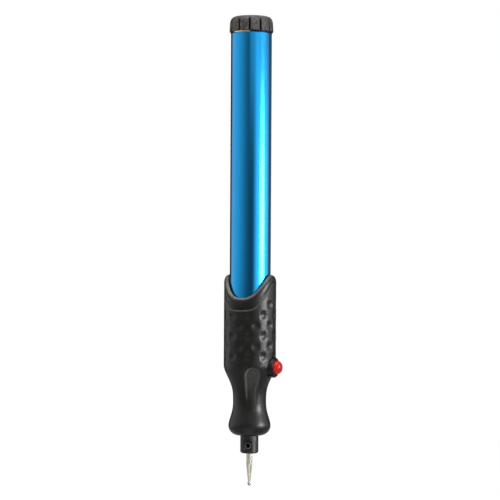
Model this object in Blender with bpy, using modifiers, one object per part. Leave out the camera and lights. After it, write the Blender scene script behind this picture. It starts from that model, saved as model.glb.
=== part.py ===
# Battery engraving pen: a cordless hand tool that spins a small ball burr.
# Metres, +Z up. The origin is on the tool's axis at the finger waist of the grip,
# the burr points down and the push button faces +X.

import math

import bmesh
import bpy
from mathutils import Matrix, Vector

# Fits between pieces
SEAT_GAP = 0.0003  # between a piece and the ledge that it rests on
FACE_GAP = 0.0001  # between two flat faces that meet
PRESS_GAP = 0.0001  # radial, round a pressed-in piece
RUN_GAP = 0.0001  # radial, round a shaft in its bearing
SEAM_GAP = 0.0001  # across the parting plane of the grip

# Battery cells and the tube that holds them
CELL_DIAMETER = 0.0142
CELL_BODY_LENGTH = 0.0487
CELL_EDGE = 0.0005
CELL_NUB_DIAMETER = 0.0052
CELL_NUB_LENGTH = 0.0010
CELL_CLEARANCE = 0.0003
TUBE_WALL = 0.0006
TUBE_EDGE = 0.0002
TUBE_FIT = 0.00015  # radial, between the tube and the grip

# Screw cap
THREAD_ENGAGEMENT = 0.0035
THREAD_MARGIN = 0.0005  # above the rear cell
THREAD_CLEARANCE = 0.0002
CAP_BUSH_WALL = 0.0009
CAP_FLANGE_THICKNESS = 0.0004
CAP_FLANGE_OVERHANG = 0.0002
CAP_HEIGHT = 0.0060
CAP_WALL = 0.0013
CAP_TOP_WALL = 0.0015
CAP_TAPER = 0.0003
CAP_ROUNDING = 0.0022
CAP_GROOVES = 12
CAP_GROOVE_WIDTH = 0.0010
CAP_GROOVE_DEPTH = 0.0005
CAP_GROOVE_START = math.radians(-102)
CAP_PLATE_THICKNESS = 0.0004
CAP_SPRING_WIRE = 0.0008
CAP_SPRING_DIAMETER = 0.0080
CAP_SPRING_TURNS = 5

# Contacts at the foot of the tube
WIRING_SPACE = 0.0030  # between the motor and the contact carrier
CARRIER_RECESS = 0.0012
CARRIER_THICKNESS = 0.0034
CARRIER_FIT = 0.0002
CONTACT_HEAD_DIAMETER = 0.0050
CONTACT_SHANK_DIAMETER = 0.0018
CONTACT_THICKNESS = 0.0004
CONTACT_TAIL = 0.0008
CLIP_WIDTH = 0.0030
CLIP_TAB = 0.0030
CLIP_SLACK = 0.00015

# Grip, moulded in two halves
GRIP_WALL = 0.00205
WAIST_WALL = 0.00157
FLARE_STEP = 0.00176
FLARE_DROP = 0.0098
FLARE_EASE = 1.4
NOSE_LENGTH = 0.0135
SHOULDER_ABOVE_BUTTON = 0.0007
SHOULDER_EASE = 1.45
TUBE_GRIP_DEPTH = 0.0059  # tube held below the lowest part of the rim
RIM_SWEEP = 0.0090
RIM_EASE = 2.6
LIP_ROUNDING = 0.0016
LEAD_IN = 0.0003
CREASE_DROP = 0.0052
CREASE_SWEEP = 0.0105
CREASE_EASE = 4
CREASE_DEPTH = 0.0002
CREASE_HEIGHT = 0.0003
DIMPLE_DEPTH = 0.0004
DIMPLE_WIDTH = 0.0046
DIMPLE_HEIGHT = 0.0046
DIMPLE_COLUMNS = 20
DIMPLE_ROWS = 3
DIMPLE_PITCH = 0.0080
DIMPLE_ABOVE_SHOULDER = 0.0037
SCOOP_ANGLES = (math.radians(-60), math.radians(60), math.radians(180))
SCOOP_WIDTH = 0.0066
SCOOP_FOOT_WIDTH = 0.0036
SCOOP_WALL = 0.0014  # from the edge of a scoop to its full depth
SCOOP_DEPTH = 0.0009
SCOOP_BELOW_SHOULDER = 0.0004
SCOOP_FOOT_DROP = 0.0020  # foot of the scoop, below the waist
PEG_DIAMETER = 0.0014
PEG_LENGTH = 0.0012
PEG_SLACK = 0.00015
LOWER_PEG_DROP = 0.0065
UPPER_PEG_RISE = 0.0050
COLUMNS_PER_HALF = 30
NOSE_ROWS = 4
FLARE_ROWS = 4
SHOULDER_ROWS = 8
DIMPLE_FIELD_ROWS = 16
LIP_ROWS = 4

# Push button, bezel and switch
BUTTON_RISE = 0.0132
BUTTON_DIAMETER = 0.0053
BUTTON_PROUD = 0.0024
BUTTON_TRAVEL = 0.0010
BUTTON_FLANGE_DIAMETER = 0.0064
BUTTON_FLANGE_THICKNESS = 0.0008
BUTTON_STEM_DIAMETER = 0.0018
BEZEL_DIAMETER = 0.0080
BEZEL_STAND = 0.0009  # bezel face outside the grip's full radius
BEZEL_STEP = 0.00035
BEZEL_STEP_DEPTH = 0.0004
BEZEL_LIP = 0.0017
BEZEL_SLACK = 0.00015
BUTTON_SLACK = 0.00025
BUTTON_SPRING_WIRE = 0.00035
BUTTON_SPRING_DIAMETER = 0.0044
BUTTON_SPRING_TURNS = 3
SWITCH_BACK = 0.0020
SWITCH_DEPTH = 0.0030
SWITCH_WIDTH = 0.0068
SWITCH_HEIGHT = 0.0054
SWITCH_WALL = 0.0006
SWITCH_SLACK = 0.00045
STRIP_THICKNESS = 0.00025
STRIP_HEIGHT = 0.0026
TAG_WIDTH = 0.0012
TAG_RISE = 0.0009
TAG_SLACK = 0.00015

# Motor
SEAT_WEB = 0.00075  # grip material between the bezel's hole and the motor's seat
MOTOR_DIAMETER = 0.0150
MOTOR_FLATS = 0.0120
MOTOR_LENGTH = 0.0125
MOTOR_FIT = 0.0002
CAN_WALL = 0.0004
CAN_BOSS_DIAMETER = 0.0044
CAN_BOSS_HEIGHT = 0.0007
END_BELL_THICKNESS = 0.0018
AIR_GAP = 0.0004
ROTOR_CLEARANCE = 0.0005
WINDING_THICKNESS = 0.0008
POLE_WIDTH = 0.0016
POLE_SHOE_THICKNESS = 0.0009
POLE_SHOE_ANGLE = math.radians(100)
ROTOR_HUB_DIAMETER = 0.0034
COMMUTATOR_DIAMETER = 0.0040
COMMUTATOR_LENGTH = 0.0025
BRUSH_OFFSET = 0.0040
BRUSH_WIDTH = 0.0020
BRUSH_THICKNESS = 0.0003
BRUSH_TAG_RISE = 0.0010
SHAFT_DIAMETER = 0.0020
SHAFT_EDGE = 0.0002
SHAFT_PASSAGE_GAP = 0.0006

# Nose bush, chuck, grub screw and burr
NOSE_BUSH_DIAMETER = 0.0064
NOSE_BUSH_LENGTH = 0.0044
BUSH_FLANGE_STEP = 0.00065
BUSH_FLANGE_THICKNESS = 0.0012
BUSH_SLACK = 0.0002
END_FLOAT = 0.0004
CHUCK_DIAMETER = 0.0071
CHUCK_LENGTH = 0.0172
CHUCK_PROTRUSION = 0.0070
CHUCK_EDGE = 0.0005
CHUCK_GAP = 0.0005
SHAFT_SEAT_DEPTH = 0.0070
GRUB_DIAMETER = 0.0028
GRUB_HEIGHT = 0.0031  # of its axis above the chuck's face
GRUB_SLACK = 0.00015
GRUB_RECESS = 0.0003
GRUB_ANGLE = math.radians(-77)
HEX_SOCKET = 0.0015
HEX_DEPTH = 0.0009
BURR_SHANK_DIAMETER = 0.00235
BURR_SLACK = 0.0001
BURR_GRIP_DEPTH = 0.0090
BURR_REACH = 0.0128  # tip below the chuck's face
BURR_TAPER_LENGTH = 0.0065
BURR_NECK_DIAMETER = 0.00096
BURR_BALL_DIAMETER = 0.0012
BURR_BALL_LENGTH = 0.0018

# Leads
LEAD_DIAMETER = 0.0009
LEAD_SPREAD = 0.0015  # of the two long leads from the plane y = 0
LEAD_ROOM = 0.00035

ROUND_STEPS = 24
FINE_STEPS = 16
TUBE_STEPS = 36
PEG_STEPS = 12

# Radii and heights that follow from the sizes above
cell_radius = CELL_DIAMETER / 2
tube_bore = cell_radius + CELL_CLEARANCE
tube_radius = tube_bore + TUBE_WALL
grip_bore = tube_radius + TUBE_FIT
grip_radius = grip_bore + GRIP_WALL
shaft_radius = SHAFT_DIAMETER / 2
chuck_radius = CHUCK_DIAMETER / 2
nose_bore = chuck_radius + CHUCK_GAP
bush_radius = NOSE_BUSH_DIAMETER / 2
bush_flange_radius = nose_bore + BUSH_FLANGE_STEP
waist_radius = bush_flange_radius + BUSH_SLACK + WAIST_WALL
flare_radius = waist_radius + FLARE_STEP
nose_edge_radius = nose_bore + LEAD_IN
shaft_passage = shaft_radius + SHAFT_PASSAGE_GAP
bezel_radius = BEZEL_DIAMETER / 2
bezel_hole = bezel_radius + BEZEL_SLACK
motor_radius = MOTOR_DIAMETER / 2
motor_pocket = motor_radius + MOTOR_FIT
motor_half_flat = MOTOR_FLATS / 2
lead_radius = LEAD_DIAMETER / 2

chuck_bottom = -NOSE_LENGTH - CHUCK_PROTRUSION
chuck_top = chuck_bottom + CHUCK_LENGTH
grub_height = chuck_bottom + GRUB_HEIGHT
burr_tip = chuck_bottom - BURR_REACH
burr_top = chuck_bottom + BURR_GRIP_DEPTH
bush_bottom = chuck_top + END_FLOAT
bush_flange_top = bush_bottom + BUSH_FLANGE_THICKNESS
bush_top = bush_bottom + NOSE_BUSH_LENGTH
shoulder_height = BUTTON_RISE + SHOULDER_ABOVE_BUTTON
switch_bottom = BUTTON_RISE - SWITCH_HEIGHT / 2
switch_top = BUTTON_RISE + SWITCH_HEIGHT / 2
bay_floor = switch_bottom - SEAT_GAP
motor_seat = BUTTON_RISE + bezel_hole + SEAT_WEB
motor_bottom = motor_seat + SEAT_GAP
motor_top = motor_bottom + MOTOR_LENGTH
bell_bottom = motor_top + FACE_GAP
bell_top = bell_bottom + END_BELL_THICKNESS
carrier_bottom = bell_top + WIRING_SPACE
carrier_top = carrier_bottom + CARRIER_THICKNESS
contact_bottom = carrier_top + FACE_GAP
contact_top = contact_bottom + CONTACT_THICKNESS
tube_bottom = carrier_bottom - CARRIER_RECESS
tube_seat = tube_bottom - SEAT_GAP
rim_valley = tube_seat + TUBE_GRIP_DEPTH
front_cell_bottom = contact_top + FACE_GAP + CELL_NUB_LENGTH
front_cell_top = front_cell_bottom + CELL_BODY_LENGTH
rear_cell_bottom = front_cell_top + FACE_GAP + CELL_NUB_LENGTH
rear_cell_top = rear_cell_bottom + CELL_BODY_LENGTH
cap_bush_bottom = rear_cell_top + THREAD_MARGIN
tube_top = cap_bush_bottom + THREAD_ENGAGEMENT
cap_flange_bottom = tube_top + FACE_GAP
cap_flange_top = cap_flange_bottom + CAP_FLANGE_THICKNESS
cap_bottom = cap_flange_top + FACE_GAP
cap_top = cap_bottom + CAP_HEIGHT
cap_pocket_top = cap_top - CAP_TOP_WALL
cap_plate_top = cap_pocket_top - FACE_GAP
cap_plate_bottom = cap_plate_top - CAP_PLATE_THICKNESS
cap_bush_top = cap_plate_bottom - SEAT_GAP
cap_bush_radius = tube_bore - THREAD_CLEARANCE
cap_pocket = cap_bush_radius + PRESS_GAP

# Distances of the button's stack from the tool's axis, working inwards
bezel_face = grip_radius + BEZEL_STAND
bezel_shoulder = bezel_face - BEZEL_LIP
button_tip = bezel_face + BUTTON_PROUD
button_flange_front = bezel_shoulder - SEAT_GAP
button_flange_back = button_flange_front - BUTTON_FLANGE_THICKNESS
bezel_back = button_flange_back - BUTTON_TRAVEL
switch_front = SWITCH_BACK + SWITCH_DEPTH
switch_bay = math.hypot(switch_front, SWITCH_WIDTH / 2) + SWITCH_SLACK
strip_pitch = STRIP_THICKNESS + BUTTON_SLACK + TAG_SLACK
contact_strip_back = SWITCH_BACK + SEAT_GAP
leaf_back = contact_strip_back + strip_pitch
leaf_front = leaf_back + STRIP_THICKNESS
button_stem_end = leaf_front + BUTTON_TRAVEL + TAG_SLACK

FINISHES = {
    "black moulding": ((0.012, 0.012, 0.013), 0.42, 0.0),
    "blue anodised": ((0.005, 0.150, 0.420), 0.22, 1.0),
    "red plastic": ((0.520, 0.012, 0.014), 0.18, 0.0),
    "black steel": ((0.022, 0.022, 0.024), 0.38, 0.7),
    "bright steel": ((0.560, 0.560, 0.570), 0.25, 1.0),
    "brass": ((0.680, 0.480, 0.180), 0.28, 1.0),
    "bronze": ((0.420, 0.260, 0.120), 0.40, 1.0),
    "copper": ((0.640, 0.260, 0.130), 0.35, 1.0),
    "ferrite": ((0.045, 0.045, 0.048), 0.60, 0.2),
    "cell sleeve": ((0.100, 0.105, 0.110), 0.35, 0.3),
    "white nylon": ((0.720, 0.710, 0.680), 0.45, 0.0),
    "red sheath": ((0.450, 0.015, 0.012), 0.40, 0.0),
    "black sheath": ((0.015, 0.015, 0.016), 0.45, 0.0),
}


def clear_scene():
    for obj in list(bpy.data.objects):
        bpy.data.objects.remove(obj, do_unlink=True)


def new_collection(name):
    collection = bpy.data.collections.new(name)
    bpy.context.scene.collection.children.link(collection)
    return collection


def new_finish(name, finish):
    color, roughness, metallic = FINISHES[finish]
    material = bpy.data.materials.new(name)
    material.use_nodes = True
    shader = material.node_tree.nodes["Principled BSDF"]
    shader.inputs["Base Color"].default_value = (*color, 1.0)
    shader.inputs["Roughness"].default_value = roughness
    shader.inputs["Metallic"].default_value = metallic
    return material


def add_part(name, data, finish, place=(0, 0, 0), turn=(0, 0, 0)):
    obj = bpy.data.objects.new(name, data)
    obj.location = place
    obj.rotation_euler = turn
    obj.parent = tool_frame
    data.materials.append(new_finish(name + "_finish", finish))
    parts.objects.link(obj)
    return obj


def add_cutter(name, data, place=(0, 0, 0), turn=(0, 0, 0)):
    obj = bpy.data.objects.new(name, data)
    obj.location = place
    obj.rotation_euler = turn
    obj.parent = tool_frame
    obj.hide_render = True
    obj.display_type = "WIRE"
    cutters.objects.link(obj)
    return obj


def combine(obj, other, operation):
    modifier = obj.modifiers.new(other.name, "BOOLEAN")
    modifier.operation = operation
    modifier.object = other


def turned_mesh(name, profile):
    # A profile that starts off the axis is a closed ring section.
    count = len(profile)
    edges = [(i, i + 1) for i in range(count - 1)]
    if profile[0][0] > 0:
        edges.append((count - 1, 0))
    mesh = bpy.data.meshes.new(name)
    mesh.from_pydata([(r, 0, z) for r, z in profile], edges, [])
    return mesh


def add_screw(obj, steps):
    screw = obj.modifiers.new("Turn", "SCREW")
    screw.steps = steps
    screw.render_steps = steps
    screw.use_merge_vertices = True
    screw.merge_threshold = 0.00001
    return obj


def turned(name, profile, finish, place=(0, 0, 0), turn=(0, 0, 0), steps=ROUND_STEPS):
    return add_screw(add_part(name, turned_mesh(name, profile), finish, place, turn), steps)


def cylinder_mesh(name, radius, low, high, steps=FINE_STEPS):
    mesh = bpy.data.meshes.new(name)
    body = bmesh.new()
    bmesh.ops.create_cone(
        body,
        cap_ends=True,
        segments=steps,
        radius1=radius,
        radius2=radius,
        depth=high - low,
        matrix=Matrix.Translation((0, 0, (low + high) / 2)),
    )
    body.to_mesh(mesh)
    body.free()
    return mesh


def box_mesh(name, corners):
    low, high = (Vector(corner) for corner in corners)
    mesh = bpy.data.meshes.new(name)
    body = bmesh.new()
    shape = Matrix.Translation((low + high) / 2) @ Matrix.Diagonal((*(high - low), 1))
    bmesh.ops.create_cube(body, size=1, matrix=shape)
    body.to_mesh(mesh)
    body.free()
    return mesh


def plate_curve(name, outlines, thickness):
    # The first outline is the edge, the others are holes in it.
    curve = bpy.data.curves.new(name, "CURVE")
    curve.dimensions = "2D"
    curve.fill_mode = "BOTH"
    curve.extrude = thickness / 2
    for outline in outlines:
        spline = curve.splines.new("POLY")
        spline.points.add(len(outline) - 1)
        for point, (x, y) in zip(spline.points, outline):
            point.co = (x, y, 0, 1)
        spline.use_cyclic_u = True
    return curve


def plate_mesh(name, outlines, thickness):
    curve = plate_curve(name + "_outline", outlines, thickness)
    guide = bpy.data.objects.new(name + "_outline", curve)
    cutters.objects.link(guide)
    graph = bpy.context.evaluated_depsgraph_get()
    mesh = bpy.data.meshes.new_from_object(guide.evaluated_get(graph))
    bpy.data.objects.remove(guide, do_unlink=True)
    body = bmesh.new()
    body.from_mesh(mesh)
    bmesh.ops.remove_doubles(body, verts=body.verts, dist=0.000001)
    bmesh.ops.recalc_face_normals(body, faces=body.faces)
    body.to_mesh(mesh)
    body.free()
    mesh.name = name
    return mesh


def tube_curve(name, points, radius, resolution):
    curve = bpy.data.curves.new(name, "CURVE")
    curve.dimensions = "3D"
    curve.bevel_depth = radius
    curve.bevel_resolution = resolution
    curve.use_fill_caps = True
    spline = curve.splines.new("POLY")
    spline.points.add(len(points) - 1)
    for point, place in zip(spline.points, points):
        point.co = (*place, 1)
    return curve


def arc(center, radius, start, end, count):
    steps = [start + (end - start) * i / (count - 1) for i in range(count)]
    return [(center[0] + radius * math.cos(a), center[1] + radius * math.sin(a)) for a in steps]


def circle(radius, count=FINE_STEPS):
    return [
        (radius * math.cos(math.tau * i / count), radius * math.sin(math.tau * i / count))
        for i in range(count)
    ]


def rectangle(x_low, x_high, y_low, y_high):
    return [(x_low, y_low), (x_high, y_low), (x_high, y_high), (x_low, y_high)]


def ease(t):
    t = min(max(t, 0.0), 1.0)
    return t * t * (3 - 2 * t)


def coil_points(diameter, low, high, turns, per_turn=9):
    count = turns * per_turn
    return [
        (
            diameter / 2 * math.cos(math.tau * i / per_turn),
            diameter / 2 * math.sin(math.tau * i / per_turn),
            low + (high - low) * i / count,
        )
        for i in range(count + 1)
    ]


def print_coil_gap(name, points, wire, per_turn=9):
    spots = [Vector(point) for point in points]
    apart = [
        (first - second).length
        for i, first in enumerate(spots)
        for second in spots[i + per_turn // 2 :]
    ]
    print(f"{name}: least gap to itself {1000 * (min(apart) - wire):.2f} mm")


# Grip: a loft of one wall section per angle, so that the rim sweeps, the scoops
# narrow downwards and the dimples sit in a staggered lattice.


def rim_height(angle):
    return rim_valley + RIM_SWEEP * abs(math.cos(angle)) ** RIM_EASE


def crease_height(angle):
    return rim_valley - CREASE_DROP + CREASE_SWEEP * math.cos(angle) ** CREASE_EASE


def outline_radius(height):
    if height < 0:
        return waist_radius + FLARE_STEP * ease((-height / FLARE_DROP) ** FLARE_EASE)
    rise = min(height / shoulder_height, 1.0)
    return waist_radius + (grip_radius - waist_radius) * ease(rise**SHOULDER_EASE)


def scoop_depth(angle, height):
    top = shoulder_height - SCOOP_BELOW_SHOULDER
    half = SCOOP_WIDTH / 2
    middle = top - half
    if height >= top or height <= -SCOOP_FOOT_DROP:
        return 0.0
    if height > middle:
        width = math.sqrt(half**2 - (height - middle) ** 2)
    else:
        fall = (middle - height) / (middle + SCOOP_FOOT_DROP)
        width = half + (SCOOP_FOOT_WIDTH / 2 - half) * fall
    fade = ease((height + SCOOP_FOOT_DROP) / (middle + SCOOP_FOOT_DROP))
    nearest = min(abs(math.remainder(angle - place, math.tau)) for place in SCOOP_ANGLES)
    inside = width - nearest * outline_radius(height)
    return SCOOP_DEPTH * fade * ease(inside / SCOOP_WALL)


def dimple_depth(angle, height):
    pitch = math.tau / DIMPLE_COLUMNS
    column = round((angle + math.pi / 2) / pitch)
    across = (angle + math.pi / 2 - column * pitch) * grip_radius / (DIMPLE_WIDTH / 2)
    lowest = shoulder_height + DIMPLE_ABOVE_SHOULDER + (1 - column % 2) * DIMPLE_PITCH / 2
    row = min(max(round((height - lowest) / DIMPLE_PITCH), 0), DIMPLE_ROWS - 1)
    along = (height - lowest - row * DIMPLE_PITCH) / (DIMPLE_HEIGHT / 2)
    spread = min(math.hypot(across, along), 1.0)
    margin = ease((crease_height(angle) - height) / (DIMPLE_HEIGHT / 2))
    return DIMPLE_DEPTH * margin * (1 + math.cos(math.pi * spread)) / 2


def between(low, high, count):
    return [low + (high - low) * i / count for i in range(count)]


def grip_section(angle):
    # Radius and height of each point round the wall, up the outside and down the inside.
    crease = crease_height(angle)
    rim = rim_height(angle)
    flare_drop = NOSE_LENGTH - FLARE_DROP
    section = []
    for turn in between(0, math.pi / 2, NOSE_ROWS):
        radius = nose_edge_radius + (flare_radius - nose_edge_radius) * math.sin(turn)
        section.append((radius, -FLARE_DROP - flare_drop * math.cos(turn)))
    heights = between(-FLARE_DROP, 0, FLARE_ROWS) + between(0, shoulder_height, SHOULDER_ROWS)
    heights += between(shoulder_height, crease, DIMPLE_FIELD_ROWS) + [crease]
    for height in heights:
        depth = scoop_depth(angle, height) + dimple_depth(angle, height)
        section.append((outline_radius(height) - depth, height))
    section.append((grip_radius - CREASE_DEPTH, crease + CREASE_HEIGHT))
    lip = (grip_radius - LIP_ROUNDING, rim - LIP_ROUNDING)
    section += arc(lip, LIP_ROUNDING, 0, math.pi / 2, LIP_ROWS)
    section += [
        (grip_bore + LEAD_IN, rim),
        (grip_bore, rim - LEAD_IN),
        (grip_bore, tube_seat),
        (motor_pocket, tube_seat),
        (motor_pocket, motor_seat),
        (switch_bay, motor_seat),
        (switch_bay, bay_floor),
        (shaft_passage, bay_floor),
        (shaft_passage, bush_top + BUSH_SLACK),
        (bush_radius + BUSH_SLACK, bush_top + BUSH_SLACK),
        (bush_radius + BUSH_SLACK, bush_flange_top + BUSH_SLACK),
        (bush_flange_radius + BUSH_SLACK, bush_flange_top + BUSH_SLACK),
        (bush_flange_radius + BUSH_SLACK, bush_bottom - BUSH_SLACK),
        (nose_bore, bush_bottom - BUSH_SLACK),
        (nose_bore, -NOSE_LENGTH + LEAD_IN),
    ]
    return section


def grip_half_mesh(name, side):
    body = bmesh.new()
    columns = []
    for i in range(COLUMNS_PER_HALF + 1):
        angle = -math.pi / 2 + math.pi * i / COLUMNS_PER_HALF
        column = []
        for radius, height in grip_section(angle):
            x = max(radius * math.cos(angle), SEAM_GAP / 2)
            column.append(body.verts.new((side * x, radius * math.sin(angle), height)))
        columns.append(column)
    count = len(columns[0])
    for first, second in zip(columns, columns[1:]):
        for j in range(count):
            k = (j + 1) % count
            body.faces.new((first[j], second[j], second[k], first[k]))
    body.faces.new(columns[0])
    body.faces.new(columns[-1])
    bmesh.ops.recalc_face_normals(body, faces=body.faces)
    mesh = bpy.data.meshes.new(name)
    body.to_mesh(mesh)
    body.free()
    mesh.shade_smooth()
    mesh.set_sharp_from_angle(angle=math.radians(50))
    return mesh


def peg_places():
    lower = (nose_bore + outline_radius(-LOWER_PEG_DROP)) / 2
    upper = (shaft_passage + outline_radius(UPPER_PEG_RISE)) / 2
    return [
        (way * across, height)
        for across, height in ((lower, -LOWER_PEG_DROP), (upper, UPPER_PEG_RISE))
        for way in (-1, 1)
    ]


def make_grip():
    along_x = (0, math.pi / 2, 0)
    right = add_part("grip_right", grip_half_mesh("grip_right", 1), "black moulding")
    left = add_part("grip_left", grip_half_mesh("grip_left", -1), "black moulding")
    hole = cylinder_mesh("button_hole", bezel_hole, switch_front, button_tip, ROUND_STEPS)
    combine(right, add_cutter("button_hole", hole, (0, 0, BUTTON_RISE), along_x), "DIFFERENCE")
    half_notch = LEAD_SPREAD + lead_radius + LEAD_ROOM
    notch = box_mesh(
        "lead_notch",
        (
            (switch_front, -half_notch, switch_top + SEAT_GAP),
            (motor_pocket - FACE_GAP, half_notch, motor_seat + LEAD_DIAMETER),
        ),
    )
    combine(right, add_cutter("lead_notch", notch), "DIFFERENCE")
    for i, (across, height) in enumerate(peg_places()):
        place = (0, across, height)
        peg = cylinder_mesh(f"peg_{i}", PEG_DIAMETER / 2, -PEG_LENGTH, PEG_LENGTH, PEG_STEPS)
        combine(left, add_cutter(f"peg_{i}", peg, place, along_x), "UNION")
        socket = cylinder_mesh(
            f"peg_socket_{i}",
            PEG_DIAMETER / 2 + PEG_SLACK,
            -PEG_LENGTH,
            PEG_LENGTH + SEAT_GAP,
            PEG_STEPS,
        )
        combine(right, add_cutter(f"peg_socket_{i}", socket, place, along_x), "DIFFERENCE")


def make_tube_and_cells():
    turned(
        "barrel_tube",
        [
            (tube_radius - TUBE_EDGE, tube_top),
            (tube_radius, tube_top - TUBE_EDGE),
            (tube_radius, tube_bottom + TUBE_EDGE),
            (tube_radius - TUBE_EDGE, tube_bottom),
            (tube_bore, tube_bottom),
            (tube_bore, tube_top),
        ],
        "blue anodised",
        steps=TUBE_STEPS,
    )
    cell = [
        (0, CELL_BODY_LENGTH),
        (cell_radius - CELL_EDGE, CELL_BODY_LENGTH),
        (cell_radius, CELL_BODY_LENGTH - CELL_EDGE),
        (cell_radius, CELL_EDGE),
        (cell_radius - CELL_EDGE, 0),
        (CELL_NUB_DIAMETER / 2, 0),
        (CELL_NUB_DIAMETER / 2, -CELL_NUB_LENGTH),
        (0, -CELL_NUB_LENGTH),
    ]
    turned("battery_cell_front", cell, "cell sleeve", (0, 0, front_cell_bottom))
    turned("battery_cell_rear", cell, "cell sleeve", (0, 0, rear_cell_bottom))


def make_cap():
    cap_radius = cap_pocket + CAP_WALL
    top_radius = cap_radius - CAP_TAPER
    rounding = arc(
        (top_radius - CAP_ROUNDING, CAP_HEIGHT - CAP_ROUNDING), CAP_ROUNDING, math.pi / 2, 0, 6
    )
    pocket_depth = cap_pocket_top - cap_bottom
    profile = [(0, CAP_HEIGHT), *rounding, (cap_radius, 0), (cap_pocket, 0)]
    profile += [(cap_pocket, pocket_depth), (0, pocket_depth)]
    cap = turned("end_cap", profile, "black moulding", (0, 0, cap_bottom), steps=TUBE_STEPS)
    grooves = bmesh.new()
    for i in range(CAP_GROOVES):
        around = CAP_GROOVE_START + math.tau * i / CAP_GROOVES
        depth = 2 * CAP_GROOVE_DEPTH
        tilt = Matrix.Rotation(-math.atan(CAP_TAPER / CAP_HEIGHT), 4, "Y")
        shape = (
            Matrix.Rotation(around, 4, "Z")
            @ Matrix.Translation((cap_radius, 0, 0))
            @ tilt
            @ Matrix.Diagonal((depth, CAP_GROOVE_WIDTH, 3 * CAP_HEIGHT, 1))
        )
        bmesh.ops.create_cube(grooves, size=1, matrix=shape)
    groove_mesh = bpy.data.meshes.new("cap_grooves")
    grooves.to_mesh(groove_mesh)
    grooves.free()
    combine(cap, add_cutter("cap_grooves", groove_mesh, (0, 0, cap_bottom)), "DIFFERENCE")

    flange_radius = tube_radius + CAP_FLANGE_OVERHANG
    bush_bore = cap_bush_radius - CAP_BUSH_WALL
    turned(
        "cap_thread_bush",
        [
            (cap_bush_radius, cap_bush_top),
            (cap_bush_radius, cap_flange_top),
            (flange_radius, cap_flange_top),
            (flange_radius, cap_flange_bottom),
            (cap_bush_radius, cap_flange_bottom),
            (cap_bush_radius, cap_bush_bottom),
            (bush_bore, cap_bush_bottom),
            (bush_bore, cap_bush_top),
        ],
        "brass",
        steps=TUBE_STEPS,
    )
    plate_radius = cap_bush_radius - SEAT_GAP
    turned(
        "cap_contact_plate",
        [
            (0, CAP_PLATE_THICKNESS),
            (plate_radius, CAP_PLATE_THICKNESS),
            (plate_radius, 0),
            (0, 0),
        ],
        "brass",
        (0, 0, cap_plate_bottom),
    )
    room = SEAT_GAP + CAP_SPRING_WIRE / 2
    coil = coil_points(
        CAP_SPRING_DIAMETER, rear_cell_top + room, cap_plate_bottom - room, CAP_SPRING_TURNS
    )
    print_coil_gap("cap_spring", coil, CAP_SPRING_WIRE)
    add_part("cap_spring", tube_curve("cap_spring", coil, CAP_SPRING_WIRE / 2, 1), "bright steel")


def make_tube_contacts():
    carrier_radius = tube_bore - CARRIER_FIT
    shank_hole = CONTACT_SHANK_DIAMETER / 2 + PRESS_GAP
    carrier = turned(
        "contact_carrier",
        [
            (carrier_radius, CARRIER_THICKNESS),
            (carrier_radius, 0),
            (shank_hole, 0),
            (shank_hole, CARRIER_THICKNESS),
        ],
        "white nylon",
        (0, 0, carrier_bottom),
    )
    clip_outside = math.sqrt(tube_bore**2 - (CLIP_WIDTH / 2) ** 2) - FACE_GAP
    clip_inside = clip_outside - CONTACT_THICKNESS
    notch_half = CLIP_WIDTH / 2 + CLIP_SLACK
    notch = box_mesh(
        "clip_notch",
        (
            (clip_inside - CLIP_SLACK, -notch_half, -CARRIER_THICKNESS),
            (tube_radius, notch_half, 2 * CARRIER_THICKNESS),
        ),
    )
    combine(carrier, add_cutter("clip_notch", notch, (0, 0, carrier_bottom)), "DIFFERENCE")
    tail = CARRIER_THICKNESS + FACE_GAP + CONTACT_TAIL
    turned(
        "positive_contact",
        [
            (0, CONTACT_THICKNESS),
            (CONTACT_HEAD_DIAMETER / 2, CONTACT_THICKNESS),
            (CONTACT_HEAD_DIAMETER / 2, 0),
            (CONTACT_SHANK_DIAMETER / 2, 0),
            (CONTACT_SHANK_DIAMETER / 2, -tail),
            (0, -tail),
        ],
        "brass",
        (0, 0, contact_bottom),
    )
    tab_top = -FACE_GAP
    tab_bottom = tab_top - CONTACT_THICKNESS
    tab_inside = clip_outside - CLIP_TAB
    leg_top = CARRIER_THICKNESS - SEAT_GAP
    outline = [
        (tab_inside, tab_bottom),
        (clip_outside, tab_bottom),
        (clip_outside, leg_top),
        (clip_inside, leg_top),
        (clip_inside, tab_top),
        (tab_inside, tab_top),
    ]
    clip = plate_curve("tube_contact_clip", [outline], CLIP_WIDTH)
    add_part("tube_contact_clip", clip, "brass", (0, 0, carrier_bottom), (math.pi / 2, 0, 0))


def flatted_outline(radius, half_flat, count=13):
    corner = math.acos(half_flat / radius)
    upper = arc((0, 0), radius, corner, math.pi - corner, count)
    lower = arc((0, 0), radius, math.pi + corner, math.tau - corner, count)
    return upper + lower


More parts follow.
